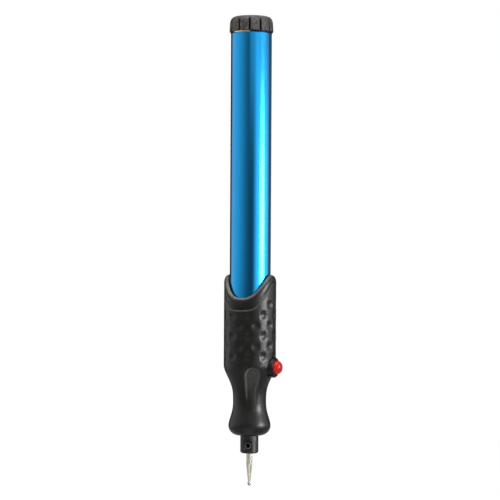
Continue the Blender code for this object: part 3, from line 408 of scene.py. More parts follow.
def halfShadedBrass():  # plain brass on the side that the photograph shows bright, painted shade in dark bluish brass elsewhere
    material, place = newFinish("halfShadedBrass")
    x, y = place.parts()[:2]
    side, half, shadeFrom = (radians(angle) for angle in brassShading.values())
    turn = x.calc("ARCTAN2", y, x) - side
    shaded = turn.calc("ABSOLUTE", turn).smooth(half, shadeFrom)
    cloud = noise(place, 1.2, 4.0)
    plainBrass = cloud.blend((0.72, 0.6, 0.36), (0.86, 0.74, 0.5))
    return feed(
        material,
        # painted shade: dark bluish brass away from the plain side
        base_color=shaded.blend(plainBrass, (0.012, 0.016, 0.03)),
        metallic=1.0,
        roughness=0.26 + 0.14 * cloud,
        normal=bump(cloud, 0.01, 0.4),
    )

def diamondCoat():
    material, place = newFinish("diamondCoat")
    grit = cells(place, 0.09)
    cloud = noise(place, 0.3)
    return feed(
        material,
        base_color=grit.smooth(0.2, 0.7).blend((0.42, 0.41, 0.38), (0.2, 0.195, 0.185)),
        metallic=0.85,
        roughness=0.34 + 0.2 * cloud,
        normal=bump(grit, 0.03, 0.6),
    )

def woundCopper():
    material, place = newFinish("woundCopper")
    up = place.parts()[2] / (0.12 * mm)  # one wire every 0.12 mm
    strand = up.calc("PINGPONG", up, 0.5) * 2
    tint = noise(place, 0.8)
    return feed(
        material,
        base_color=tint.blend((0.5, 0.17, 0.07), (0.72, 0.3, 0.14)),
        metallic=1.0,
        roughness=0.24 + 0.16 * tint,
        normal=bump(strand**0.5, 0.05, 0.8),
        coat_weight=0.4,
    )

def stackedSteel():
    material, place = newFinish("stackedSteel")
    up = place.parts()[2] / (0.35 * mm)  # one lamination every 0.35 mm
    joint = up.calc("PINGPONG", up, 0.5).smooth(0.1, 0.0)
    tint = noise(place, 1.2, 4.0)
    sheet = tint.blend((0.3, 0.3, 0.31), (0.5, 0.5, 0.51))
    return feed(
        material,
        base_color=joint.blend(sheet, (0.06, 0.06, 0.065)),
        metallic=1.0,
        roughness=0.3 + 0.2 * tint + 0.2 * joint,
        normal=bump(1 - joint, 0.03, 0.7),
    )

def sinteredFerrite():
    material, place = newFinish("sinteredFerrite")
    grain = noise(place, 0.2, 5.0, 0.7)
    chips = cells(place, 0.7)
    return feed(
        material,
        base_color=grain.blend((0.025, 0.025, 0.027), (0.075, 0.075, 0.08)),
        metallic=0.2,
        roughness=0.48 + 0.22 * grain,
        normal=bump(grain + 0.4 * chips, 0.05, 0.6),
    )

def cellSleeve():
    material, place = newFinish("cellSleeve")
    low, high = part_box("battery_cell_front")
    length = high.z - low.z
    up = place.parts()[2] - low.z
    share = up.calc("FLOORED_MODULO", up, length + 0.1 * mm) / length
    band = share.smooth(0.26, 0.25)
    creases = noise(place, (1.2, 1.2, 9), 3.0)
    return feed(
        material,
        base_color=band.blend((0.03, 0.032, 0.036), (0.32, 0.27, 0.2)),
        metallic=0.35,
        roughness=0.24 + 0.14 * creases,
        normal=bump(creases, 0.03, 0.4),
        coat_weight=0.4,
    )

finishes = {
    "grip": gripPlastic(),
    "cap": capPlastic(),
    "tube": blueAnodised(),
    "red": plainPlastic(
        "redPlastic",
        (0.36, 0.007, 0.005),
        (0.45, 0.013, 0.008),
        (1.8, (0.5, 3, 3)),
        (0.2, 0, 0.1),
        (0.02, 0.25),
        specular_ior_level=0.2,
    ),
    "gloss": glossBlack(),
    "oxide": turnedMetal(
        "blackOxide", (0.03, 0.03, 0.031), (0.065, 0.064, 0.062), 0.3, 0.14, (0.16, 0.155, 0.15)
    ),
    "burr": turnedMetal(
        "burrSteel", (0.62, 0.58, 0.48), (0.78, 0.74, 0.64), 0.14, 0.07, depth=0.003
    ),
    "grit": diamondCoat(),
    "steel": turnedMetal("brightSteel", (0.46, 0.46, 0.47), (0.62, 0.62, 0.63), 0.2, 0.2),
    "brass": turnedMetal("turnedBrass", (0.6, 0.4, 0.14), (0.78, 0.57, 0.25), 0.18, 0.12),
    "bushBrass": halfShadedBrass(),
    "bronze": turnedMetal("sinteredBronze", (0.32, 0.18, 0.08), (0.5, 0.31, 0.15), 0.36, 0.3),
    "copper": turnedMetal("bareCopper", (0.52, 0.19, 0.09), (0.7, 0.3, 0.16), 0.24, 0.15),
    "winding": woundCopper(),
    "core": stackedSteel(),
    "ferrite": sinteredFerrite(),
    "cell": cellSleeve(),
    "nylon": plainPlastic(
        "nylon",
        (0.66, 0.64, 0.58),
        (0.76, 0.75, 0.7),
        (2, 0.15),
        (0.36, 0.1, 0.06),
        (0.02, 0.4),
    ),
    "redSheath": sheath("redSheath", (0.38, 0.01, 0.008), (0.5, 0.02, 0.014)),
    "blackSheath": sheath("blackSheath", (0.01, 0.01, 0.011), (0.022, 0.022, 0.023)),
}
print("finishes made:", len(finishes))

# Inner pieces keep their own solids and get a finish
innerFinish = {
    "cell": ("battery_cell_front", "battery_cell_rear"),
    "nylon": ("contact_carrier", "motor_end_bell"),
    "brass": (
        *("positive_contact", "tube_contact_clip", "cap_contact_plate"),
        *("brush_front", "brush_back", "switch_leaf", "switch_contact"),
    ),
    "steel": ("motor_can", "motor_shaft", "cap_spring"),
    "core": ("armature_core",),
    "winding": ("winding_a", "winding_b", "winding_c"),
    "copper": ("commutator",),
    "ferrite": ("motor_magnet_front", "motor_magnet_back"),
    "bronze": ("nose_bush",),
    "gloss": ("switch_housing",),
    "redSheath": ("lead_positive",),
    "blackSheath": ("lead_motor", "lead_ground"),
}
for finish, names in innerFinish.items():
    for name in names:
        slots = cadNodes[name].data.materials
        slots.clear()
        slots.append(finishes[finish])
print("inner pieces painted:", sum(len(names) for names in innerFinish.values()))

# Barrel tube
tubeSet = {
    **inMm(edge=0.2, overhang=0.8),  # the bush's flange overhangs the bore
    "sides": 160,
}
tubeLow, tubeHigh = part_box("barrel_tube")
tubeRadius = tubeHigh.x
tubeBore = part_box("cap_thread_bush")[1].x - tubeSet["overhang"]

def makeTube():
    edge = tubeSet["edge"]
    corners = [
        (tubeRadius, tubeHigh.z, edge),
        (tubeRadius, tubeLow.z, edge),
        (tubeBore, tubeLow.z, edge),
        (tubeBore, tubeHigh.z, edge),
    ]
    outline = filleted(corners, 3)
    mesh = smoothed(latheMesh("barrelTube", outline, tubeSet["sides"]))
    addPiece("barrelTube", mesh, "tube", "housing", "blue_anodised", "barrel_tube")

makeTube()
print("tube made")

# Grip: two moulded halves with a swept rim, finger scoops and a staggered field of dimples
gripSet = {
    **inMm(waist=6.47, flareStep=1.76, flareDrop=9.8, noseEdge=4.35, shoulder=13.9, full=10.2),
    **inMm(rimSweep=9.0, lip=1.6, leadIn=0.3, bore=8.15, seamGap=0.05, seamRound=0.12),
    **inMm(creaseDrop=5.2, creaseSweep=10.5, creaseDepth=0.2, creaseHeight=0.3),
    "flareEase": 1.4,
    "shoulderEase": 1.45,
    "rimEase": 2.6,
    "lipHighlightFade": 0.6,  # share of the lip's painted highlight that is gone at its peaks
    "creaseEase": 4,
    "creaseHighlight": 0.4,
    "collarSwell": 1.5,
    "seamSink": 0.6,
    "columns": 170,
    "rings": {"nose": 14, "flare": 26, "shoulder": 70, "body": 130, "collar": 10, "lip": 12},
    "pockets": {
        **inMm(motorGap=0.2, motorSeat=0.4, bay=6.5, bayGap=0.3, shaftGap=0.6, noseGap=0.5),
        **inMm(bushGap=0.2, bushFlange=1.5, bushFlangeHeight=1.2, tubeGap=0.3, bezelGap=0.15),
        **inMm(notchHalf=2.3, notchReach=7.6, notchGap=0.3, notchRise=1.3),
    },
    # soften rounds the scoop floor into its wall; the rim settings place the painted highlight on
    # the scoops' rims, weaker on their right side
    "scoops": {"soften": 0.15, "rimStart": 0.4, "rimEnd": 1.3, "rimRight": 0.45, "rimTurn": 0.1},
    "relief": {
        "Scoop depth": 0.9 * mm,
        "Scoop width": 6.6 * mm,
        "Scoop foot width": 3.6 * mm,
        "Scoop top": 13.5 * mm,
        "Scoop foot": -2.0 * mm,
        "Scoop wall": 1.0 * mm,
        "Dimple depth": 0.4 * mm,
        "Dimple size": 4.6 * mm,
        "Dimple pitch": 8.0 * mm,
        "Dimple start": 17.6 * mm,
        "Dimple rows": 3,
        "Dimple columns": 20,
    },
}
gripLow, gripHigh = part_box("grip_right")
rimValley = gripHigh.z - gripSet["rimSweep"]

def outlineRadius(height):
    g = gripSet
    if height < 0:
        return g["waist"] + g["flareStep"] * ease((-height / g["flareDrop"]) ** g["flareEase"])
    rise = min(height / g["shoulder"], 1.0) ** g["shoulderEase"]
    return g["waist"] + (g["full"] - g["waist"]) * ease(rise)

def insideOutline(rim):  # pockets for the tube, motor, switch and nose bush, from the top down
    g = gripSet
    p = g["pockets"]
    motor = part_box("motor_end_bell")[1].y + p["motorGap"]
    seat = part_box("motor_can")[0].z + p["motorSeat"]
    bay = p["bay"]
    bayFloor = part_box("switch_housing")[0].z - p["bayGap"]
    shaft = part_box("motor_shaft")[1].x + p["shaftGap"]
    bushLow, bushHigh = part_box("nose_bush")
    slack = p["bushGap"]
    flange = bushHigh.x + slack
    barrel = flange - p["bushFlange"]
    flangeTop = bushLow.z + p["bushFlangeHeight"] + slack
    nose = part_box("chuck")[1].x + p["noseGap"]
    tubeSeat = tubeLow.z - p["tubeGap"]
    return [
        (g["bore"] + g["leadIn"], rim),
        (g["bore"], rim - g["leadIn"]),
        (g["bore"], tubeSeat),
        (motor, tubeSeat),
        (motor, seat),
        (bay, seat),
        (bay, bayFloor),
        (shaft, bayFloor),
        (shaft, bushHigh.z + slack),
        (barrel, bushHigh.z + slack),
        (barrel, flangeTop),
        (flange, flangeTop),
        (flange, bushLow.z - slack),
        (nose, bushLow.z - slack),
        (nose, gripLow.z + g["leadIn"]),
    ]

def gripSection(angle):  # (radius, height, 1 on the outer skin, share of painted highlight) round the wall
    g = gripSet
    counts = g["rings"]
    rim = rimValley + g["rimSweep"] * abs(cos(angle)) ** g["rimEase"]
    crease = rimValley - g["creaseDrop"] + g["creaseSweep"] * cos(angle) ** g["creaseEase"]
    flare = g["waist"] + g["flareStep"]
    section = []
    for turn in steps(0, pi / 2, counts["nose"]):
        radius = g["noseEdge"] + (flare - g["noseEdge"]) * sin(turn)
        height = -g["flareDrop"] + (gripLow.z + g["flareDrop"]) * cos(turn)
        section.append((radius, height, 0, 0))
    heights = steps(-g["flareDrop"], 0, counts["flare"])
    heights += steps(0, g["shoulder"], counts["shoulder"])
    heights += steps(g["shoulder"], crease, counts["body"]) + [crease]
    section += [(outlineRadius(height), height, 1, 0) for height in heights]
    sunk = g["full"] - g["creaseDepth"]
    bottom = crease + g["creaseHeight"]
    for height in steps(bottom, rim - g["lip"], counts["collar"]):  # out of the crease
        share = (height - bottom) / (rim - g["lip"] - bottom)
        radius = sunk + (g["full"] - sunk) * ease(share * g["collarSwell"])
        # a painted highlight along the crease's edge
        section.append((radius, height, 0, g["creaseHighlight"] * (share == 0)))
    middle = (g["full"] - g["lip"], rim - g["lip"])
    dip = 1 - g["lipHighlightFade"] * abs(cos(angle))  # the painted highlight on the lip is strongest where it dips
    for turn in steps(0, pi / 2, counts["lip"]) + [pi / 2]:
        radius = middle[0] + g["lip"] * cos(turn)
        wear = dip * ease(2 * sin(turn) - 1)
        section.append((radius, middle[1] + g["lip"] * sin(turn), 0, wear))
    return section + [(radius, height, 0, 0) for radius, height in insideOutline(rim)]

def gripHalf(name, side):
    g = gripSet
    body = bmesh.new()
    outer = body.verts.layers.float.new("outer")
    # the lip layer carries the painted highlight on the lip and the crease
    lip = body.verts.layers.float.new("lip")
    edge = g["seamRound"] / g["full"]
    inner = steps(-pi / 2 + edge, pi / 2 - edge, g["columns"])
    angles = [-pi / 2, *inner, pi / 2 - edge, pi / 2]
    columns = []
    for i, angle in enumerate(angles):
        column = []
        atSeam = i in (0, len(angles) - 1)
        for radius, height, skin, wear in gripSection(angle):
            if atSeam and radius > g["bore"]:
                radius -= g["seamSink"] * g["seamRound"]
            x = max(radius * cos(angle), g["seamGap"])
            vert = body.verts.new((side * x, radius * sin(angle), height))
            vert[outer] = skin
            vert[lip] = wear
            column.append(vert)
        columns.append(column)
    count = len(columns[0])
    for one, two in zip(columns, columns[1:]):
        for j in range(count):
            k = (j + 1) % count
            body.faces.new((one[j], two[j], two[k], one[k]))
    for column in (columns[0], columns[-1]):
        body.faces.new(column)
    return closedMesh(name, body)

def reliefTree():  # presses the scoops and dimples into the outer skin
    given = newTree("gripRelief", gripSet["relief"], "Full radius", "Rim valley")
    start = given["Geometry"]
    x, y, height = start.add("GeometryNodeInputPosition").parts()
    angle = x.calc("ARCTAN2", y, x)
    radius = (x * x + y * y) ** 0.5
    outer = start.add("GeometryNodeInputNamedAttribute", {"data_type": "FLOAT"}, {0: "outer"})

    top = given["Scoop top"]
    foot = given["Scoop foot"]
    half = given["Scoop width"] / 2
    middle = top - half
    rise = height - middle
    above = rise.calc("GREATER_THAN", rise, 0.0)
    roundTop = (half * half - rise * rise).atLeast(0.0) ** 0.5
    fall = (middle - height) / (middle - foot)
    taper = half + (given["Scoop foot width"] / 2 - half) * fall
    width = above * roundTop + (1 - above) * taper
    third = tau / 3
    turn = angle.calc("WRAP", angle + third / 2, third / 2, -third / 2)
    inside = width - turn.calc("ABSOLUTE", turn) * radius
    floor = height.smooth(foot, middle)
    s = gripSet["scoops"]
    slope = given["Scoop wall"]
    wall = inside.atLeast(0.0) / slope
    scoop = (wall.calc("SMOOTH_MIN", wall, floor, s["soften"]) * outer).atLeast(0.0)
    # painted highlight on the scoop's rim, stronger on its left
    onWall = inside.smooth(0.0, slope * s["rimStart"]) * inside.smooth(slope * s["rimEnd"], 0.0)
    leftward = s["rimRight"] + (1 - s["rimRight"]) * turn.smooth(s["rimTurn"], -s["rimTurn"])
    scoopRimHighlight = onWall * leftward * floor * outer

    pitch = tau / given["Dimple columns"]
    spot = (angle + pi / 2) / pitch
    column = spot.calc("ROUND", spot)
    across = (spot - column) * pitch * given["Full radius"]
    parity = column.calc("FLOORED_MODULO", column, 2.0)
    lowest = given["Dimple start"] + (1 - parity) * given["Dimple pitch"] / 2
    level = (height - lowest) / given["Dimple pitch"]
    row = level.calc("ROUND", level).atLeast(0.0).atMost(given["Dimple rows"] - 1)
    along = (level - row) * given["Dimple pitch"]
    size = given["Dimple size"] / 2
    spread = ((across * across + along * along) ** 0.5 / size).atMost(1.0)
    lift = x / radius * (x / radius)
    crease = given["Rim valley"] - gripSet["creaseDrop"] + gripSet["creaseSweep"] * lift * lift
    margin = (crease - height).smooth(0.0, size)
    dimple = margin * spread.smooth(1.0, 0.0) * outer

    depth = scoop * given["Scoop depth"] + dimple * given["Dimple depth"]
    masked = marked(marked(start, "scoop", scoop), "scoopRimHighlight", scoopRimHighlight)
    return endTree(pressedIn(masked, x, y, radius, depth), given["Material"])

def makeGrip():
    tree = reliefTree()
    values = {**gripSet["relief"], "Full radius": gripSet["full"], "Rim valley": rimValley}
    values["Material"] = finishes["grip"]
    bezelLow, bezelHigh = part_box("switch_bezel")
    middle = (bezelLow + bezelHigh) / 2
    reach = bezelHigh.x - bezelLow.x
    p = gripSet["pockets"]
    wide = (bezelHigh.z - bezelLow.z) / 2 + p["bezelGap"]
    hole = latheMesh("bezelHole", [(0, -reach), (wide, -reach), (wide, reach), (0, reach)], 72)
    hole.transform(Matrix.Translation(middle) @ alongX)
    notch = bmesh.new()
    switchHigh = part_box("switch_housing")[1]
    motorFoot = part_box("motor_can")[0].z
    low = Vector((switchHigh.x, -p["notchHalf"], switchHigh.z + p["notchGap"]))
    high = Vector((p["notchReach"], p["notchHalf"], motorFoot + p["notchRise"]))
    shape = Matrix.Translation((low + high) / 2) @ Matrix.Diagonal((*(high - low), 1))
    bmesh.ops.create_cube(notch, size=1, matrix=shape)
    for name, node, side in (("gripRight", "grip_right", 1), ("gripLeft", "grip_left", -1)):
        mesh = runTree(gripHalf(name, side), tree, values)
        if side == 1:
            mesh = cutMesh(mesh, hole, closedMesh("leadNotch", notch))
        addPiece(name, smoothed(mesh, 50), "grip", "housing", "black_moulding", node)

makeGrip()
print("grip made")

# Screw cap with moulded grooves, and its brass thread bush
capSet = {
    **inMm(wall=1.3, roof=1.5, rounding=2.2, edge=0.25),
    **inMm(crown=1.5),  # the innermost ring of the flat top
    "sides": 432,
    "grooves": {
        "Grooves": 12,
        "Groove width": 1.0 * mm,
        "Groove depth": 0.5 * mm,
        "Groove slope": 0.22 * mm,
        "First groove": radians(-102),
        "Wall radius": 8.6 * mm,
        "Taper": 0.3 * mm,
    },
}
bushSet = {
    **inMm(wall=0.9, gap=0.2, flange=0.4, flangeGap=0.1, edge=0.1),
    "sides": 128,
    "thread": {
        "Thread pitch": 1.0 * mm,
        "Thread depth": 0.28 * mm,
        "Thread top": 3.4 * mm,  # above the bush's lower end
    },
}
capLow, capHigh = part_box("end_cap")
bushLow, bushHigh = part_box("cap_thread_bush")

def grooveTree():  # presses straight grooves into the wall, which run out on the rounded shoulder
    given = newTree("capGrooves", capSet["grooves"], "Foot", "Height")
    start = given["Geometry"]
    x, y, z = start.add("GeometryNodeInputPosition").parts()
    angle = x.calc("ARCTAN2", y, x)
    radius = ((x * x + y * y) ** 0.5).atLeast(0.01 * mm)
    pitch = tau / given["Grooves"]
    turn = angle.calc("WRAP", angle - given["First groove"], pitch / 2, 0 - pitch / 2)
    across = turn.calc("ABSOLUTE", turn) * radius
    half = given["Groove width"] / 2
    inGroove = across.smooth(half, half - given["Groove slope"])
    wall = given["Wall radius"] - given["Taper"] * (z - given["Foot"]) / given["Height"]
    depth = (radius - (wall - given["Groove depth"])).atLeast(0.0) * inGroove
    # the groove mask, for the painted shade in the grooves
    masked = marked(start, "grooveShade", (depth / given["Groove depth"]).smooth(0.2, 0.8))
    return endTree(pressedIn(masked, x, y, radius, depth), given["Material"])

def threadTree():  # cuts a helical thread into the lower stretch of the bush
    given = newTree("bushThread", bushSet["thread"], "Foot", "Crest")
    start = given["Geometry"]
    x, y, z = start.add("GeometryNodeInputPosition").parts()
    radius = (x * x + y * y) ** 0.5
    height = z - given["Foot"]
    turns = x.calc("ARCTAN2", y, x) / tau
    phase = height / given["Thread pitch"] - turns
    flank = phase.calc("PINGPONG", phase, 0.5) * 2
    skin = radius.smooth(given["Crest"] - 0.02 * mm, given["Crest"] - 0.01 * mm)
    below = height.smooth(given["Thread top"], given["Thread top"] - 0.3 * mm)
    depth = flank.smooth(0.15, 0.85) * skin * below * given["Thread depth"]
    return endTree(pressedIn(start, x, y, radius, depth), given["Material"])

def makeCap():
    c = capSet
    height = capHigh.z - capLow.z
    wall = c["grooves"]["Wall radius"]
    taper = c["grooves"]["Taper"]
    pocket = wall - c["wall"]
    roof = capHigh.z - c["roof"]
    rounding = c["rounding"]
    edge = c["edge"]
    flat = wall - taper - rounding
    outline = [(0, capHigh.z)]
    outline += [(r, capHigh.z) for r in steps(c["crown"], flat, 4)]
    for turn in steps(pi / 2, 0, 16):
        radius = flat + rounding * cos(turn)
        outline.append((radius, capHigh.z - rounding + rounding * sin(turn)))
    for z in steps(capHigh.z - rounding, capLow.z + edge, 8):
        outline.append((wall - taper * (z - capLow.z) / height, z))
    foot = filleted([(wall, roof, 0), (wall, capLow.z, edge), (pocket, capLow.z, 0)], 4)
    outline += foot[1:] + [(pocket, roof), (0, roof)]
    mesh = latheMesh("endCap", outline, c["sides"])
    values = {**c["grooves"], "Foot": capLow.z, "Height": height, "Material": finishes["cap"]}
    mesh = smoothed(runTree(mesh, grooveTree(), values), 50)
    addPiece("endCap", mesh, "cap", "cap", "cap_moulding", "end_cap")

    b = bushSet
    flange = bushHigh.x
    crest = tubeBore - b["gap"]
    bore = crest - b["wall"]
    flangeLow = tubeHigh.z + b["flangeGap"]
    flangeTop = flangeLow + b["flange"]
    edge = b["edge"]
    corners = [
        (bore, bushHigh.z, 0),
        (crest, bushHigh.z, edge),
        (crest, flangeTop, 0),
        (flange, flangeTop, edge),
        (flange, flangeLow, edge),
        (crest, flangeLow, 0),
    ]
    outline = filleted(corners, 3)
    outline += [(crest, z) for z in steps(flangeLow - edge, bushLow.z + edge, 48)]
    outline += [(crest, bushLow.z + edge), (crest - edge, bushLow.z), (bore, bushLow.z)]
    mesh = latheMesh("capThreadBush", outline, b["sides"])
    values = {**b["thread"], "Foot": bushLow.z, "Crest": crest, "Material": finishes["bushBrass"]}
    mesh = smoothed(runTree(mesh, threadTree(), values))
    addPiece("capThreadBush", mesh, "bushBrass", "cap", "brass", "cap_thread_bush")

makeCap()
print("cap made")

# Push button and its bezel, turned about the button's own axis
buttonSet = {
    **inMm(dome=2.65, proud=2.4, stem=0.9, edge=0.12, travel=1.0),
    **inMm(collar=3.2, collarGap=0.3, collarHeight=0.8),
    "full": 0.8,
    "sides": 96,
}
bezelSet = inMm(step=0.35, stepDepth=0.4, bore=2.9, chamber=3.45, lip=1.7, edge=0.14)
buttonLow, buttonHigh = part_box("push_button")
bezelLow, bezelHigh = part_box("switch_bezel")

def makeButton():
    middle = Matrix.Translation((0, 0, (buttonLow.z + buttonHigh.z) / 2)) @ alongX
    b = buttonSet
    face = bezelHigh.x
    dome = [(0, buttonHigh.x)]
    for turn in steps(0, pi / 2, 20)[1:]:
        across = sin(turn) ** b["full"]
        dome.append((b["dome"] * across, face + b["proud"] * cos(turn) ** b["full"]))
    collarFront = face - bezelSet["lip"] - b["collarGap"]
    collarBack = collarFront - b["collarHeight"]
    edge = b["edge"]
    corners = [
        (b["dome"], face, 0),
        (b["dome"], collarFront, edge),
        (b["collar"], collarFront, edge),
        (b["collar"], collarBack, edge),
        (b["stem"], collarBack, 0),
        (b["stem"], buttonLow.x, edge),
        (0, buttonLow.x, 0),
    ]
    lower = filleted(corners, 3)
    mesh = smoothed(latheMesh("pushButton", dome + lower, b["sides"]))
    mesh.transform(middle)
    addPiece("pushButton", mesh, "red", "button", "red_plastic", "push_button")

    s = bezelSet
    outside = (bezelHigh.z - bezelLow.z) / 2
    front = outside - s["step"]
    ledge = face - s["stepDepth"]
    edge = s["edge"]
    corners = [
        (front, face, edge),
        (front, ledge, 0),
        (outside, ledge, edge),
        (outside, bezelLow.x, edge),
        (s["chamber"], bezelLow.x, 0),
        (s["chamber"], face - s["lip"], 0),
        (s["bore"], face - s["lip"], 0),
        (s["bore"], face, edge),
    ]
    outline = filleted(corners, 4)
    mesh = smoothed(latheMesh("switchBezel", outline, b["sides"]))
    mesh.transform(middle)
    addPiece("switchBezel", mesh, "gloss", "housing", "bezel_plastic", "switch_bezel")

def makeButtonSpring():  # it stays on the switch, with a mesh of its own
    mesh = smoothed(cadNodes["button_spring"].data.copy())
    spring = addPiece("buttonSpring", mesh, "steel", "housing", "bright_steel", "button_spring")
    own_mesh(spring)

makeButton()
makeButtonSpring()
print("button made")

# Chuck, set screw and burr
chuckSet = {
    **inMm(edge=0.5, round=0.1),
    **inMm(shankHole=1.275, shankDepth=9.3, shaftHole=1.1, shaftDepth=7.0),
}
grubSet = {
    **inMm(radius=1.4, slack=0.15, recess=0.3, shankGap=0.3, edge=0.22),
    **inMm(sink=0.25, sinkStart=0.1, sinkWide=0.6, sinkRise=0.75),  # the countersink of its hole
    **inMm(hex=1.5, hexDepth=1.2, hexTip=0.3, hexFlare=0.3, hexFlareStart=0.12, hexFlareEnd=0.18),
    "angle": radians(-77),
    "rim": (0.8 * mm, 0.95 * mm),  # the painted shade in the socket ends and the rubbed rim starts
}
burrSet = {
    **inMm(shank=1.175, endEdge=0.2, taper=6.5, taperBlend=1.2),
    **inMm(neck=0.48, ball=0.6, ballLength=1.8),
    "grit": {
        "Grains per area": 1.5e8,
        "Grain size": 0.055 * mm,
        "Smallest": 0.6,
        "Largest": 1.25,
        "Seed": 7,
    },
}
chuckLow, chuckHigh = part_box("chuck")
burrLow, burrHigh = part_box("engraving_burr")

def radialMatrix():
    grubLow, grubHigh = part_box("grub_screw")
    lift = Matrix.Translation((0, 0, (grubLow.z + grubHigh.z) / 2))
    return lift @ Matrix.Rotation(grubSet["angle"], 4, "Z") @ alongX

def grubSteel():  # a rubbed rim round a socket in painted shade
    material, place = newFinish("grubSteel")
    x, y, z = place.parts()
    low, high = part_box("grub_screw")
    aside = y * cos(grubSet["angle"]) - x * sin(grubSet["angle"])
    up = z - (low.z + high.z) / 2
    rim = ((aside * aside + up * up) ** 0.5).smooth(*grubSet["rim"])
    cloud = noise(place, 0.4)
    return feed(
        material,
        # painted shade: the socket is near-black inside the rim
        base_color=rim.blend((0.002, 0.002, 0.002), (0.13, 0.126, 0.12)),
        metallic=1.0,
        roughness=0.3 + 0.15 * cloud,
        normal=bump(cloud, 0.01, 0.4),
    )

def makeChuck():
    c = chuckSet
    g = grubSet
    radius = chuckHigh.x
    edge = c["edge"]
    corners = [
        (0, chuckHigh.z - c["shaftDepth"], 0),
        (c["shaftHole"], chuckHigh.z - c["shaftDepth"], 0),
        (c["shaftHole"], chuckHigh.z, 0),
        (radius - edge, chuckHigh.z, c["round"]),
        (radius, chuckHigh.z - edge, c["round"]),
        (radius, chuckLow.z + edge, c["round"]),
        (radius - edge, chuckLow.z, c["round"]),
        (c["shankHole"], chuckLow.z, c["round"]),
        (c["shankHole"], chuckLow.z + c["shankDepth"], 0),
        (0, chuckLow.z + c["shankDepth"], 0),
    ]
    outline = filleted(corners, 3)
    mesh = latheMesh("chuck", outline, 120)
    hole = g["radius"] + g["slack"]
    sink = hole + g["sink"]
    face = sqrt(radius**2 - sink**2)
    corners = [
        (0, 0),
        (hole, 0),
        (hole, face - g["sinkStart"]),
        (sink + g["sinkWide"], face + g["sinkRise"]),
        (sink + g["sinkWide"], 2 * radius),
        (0, 2 * radius),
    ]
    cutter = latheMesh("grubHole", corners, 48)
    cutter.transform(radialMatrix())
    mesh = smoothed(cutMesh(mesh, cutter), 30)
    addPiece("chuckBody", mesh, "oxide", "spindle", "black_steel", "chuck")

    outer = radius - g["recess"]
    inner = burrSet["shank"] + g["shankGap"]
    edge = g["edge"]
    outline = filleted(
        [(0, inner, 0), (g["radius"], inner, edge), (g["radius"], outer, edge), (0, outer, 0)], 2
    )
    mesh = latheMesh("grubScrew", outline, 48)
    corner = g["hex"] / sqrt(3)  # from the middle, for this width across flats
    corners = [
        (0, outer - g["hexDepth"] - g["hexTip"]),
        (corner, outer - g["hexDepth"]),
        (corner, outer - g["hexFlareStart"]),
        (corner + g["hexFlare"], outer + g["hexFlareEnd"]),
        (0, outer + g["hexFlareEnd"]),
    ]
    socket = latheMesh("hexSocket", corners, 6)
    mesh = cutMesh(mesh, socket)
    mesh.transform(radialMatrix())
    finishes["grub"] = grubSteel()
    addPiece("grubScrew", smoothed(mesh, 25), "grub", "grub", "black_steel", "grub_screw")

def gritTree():  # diamond grains set into the ball of the burr
    given = newTree("burrGrit", burrSet["grit"], "Top")
    start = given["Geometry"]
    height = start.add("GeometryNodeInputPosition").parts()[2]
    onBall = height.calc("LESS_THAN", height, given["Top"])
    seed = given["Seed"]
    density = given["Grains per area"]
    points = start.add(
        "GeometryNodeDistributePointsOnFaces",
        None,
        {"Mesh": start, "Selection": onBall, "Density": density, "Seed": seed},
    )
    ball = {"Radius": given["Grain size"], "Subdivisions": 1}
    grain = start.add("GeometryNodeMeshIcoSphere", None, ball)
    turn = start.add(
        "FunctionNodeRandomValue",
        {"data_type": "FLOAT_VECTOR"},
        {0: (0, 0, 0), 1: (tau, tau, tau), "Seed": seed},
    )
    sizes = {2: given["Smallest"], 3: given["Largest"], "Seed": seed}
    size = start.add("FunctionNodeRandomValue", {"data_type": "FLOAT"}, sizes, output=1)
    grains = start.add(
        "GeometryNodeInstanceOnPoints",
        None,
        {"Points": points, "Instance": grain, "Rotation": turn, "Scale": size},
    )
    return endTree(grains, given["Material"])

def makeBurr():
    b = burrSet
    tip = burrLow.z
    neckTop = tip + b["ballLength"]
    corners = [
        (0, burrHigh.z, 0),
        (b["shank"], burrHigh.z, b["endEdge"]),
        (b["shank"], neckTop + b["taper"], b["taperBlend"]),
        (b["neck"], neckTop, 0),
    ]
    outline = filleted(corners, 6)
    halfNeck = asin(b["neck"] / b["ball"])
    for turn in steps(halfNeck, pi, 20)[1:]:
        height = tip + b["ballLength"] / 2 * (1 + cos(turn))
        outline.append((b["ball"] * sin(turn), height))
    outline.append((0, tip))
    mesh = smoothed(latheMesh("engravingBurr", outline, 72))
    values = {**b["grit"], "Top": neckTop, "Material": finishes["grit"]}
    grit = runTree(mesh.copy(), gritTree(), values)
    addPiece("engravingBurr", mesh, "burr", "burr", "burr_steel", "engraving_burr")
    addPiece("burrGrit", grit, "grit", "burr", "burr_steel")

makeChuck()
makeBurr()
print("chuck and burr made")

# Camera, at the photograph's place
cameraSet = {
    "azimuth": 23,
    "distance": 0.706,
    "height": 58.8 * mm,
    "lens": 130,
    "aside": 0.14 * mm,
    "roll": 0.3,
    "nearest": 0.01,
}

def makeCamera():
    c = cameraSet
    turn = Matrix.Rotation(radians(c["azimuth"]), 4, "Z")
    data = bpy.data.cameras.new("studioCamera")
    data.lens = c["lens"]
    data.clip_start = c["nearest"]
    camera = bpy.data.objects.new("studioCamera", data)
    bpy.context.scene.collection.objects.link(camera)
    stand = Matrix.Translation(turn @ Vector((-c["aside"], -c["distance"], c["height"])))
    upright = Matrix.Rotation(pi / 2, 4, "X")
    camera.matrix_world = stand @ turn @ upright @ Matrix.Rotation(radians(c["roll"]), 4, "Z")
    bpy.context.scene.camera = camera

makeCamera()

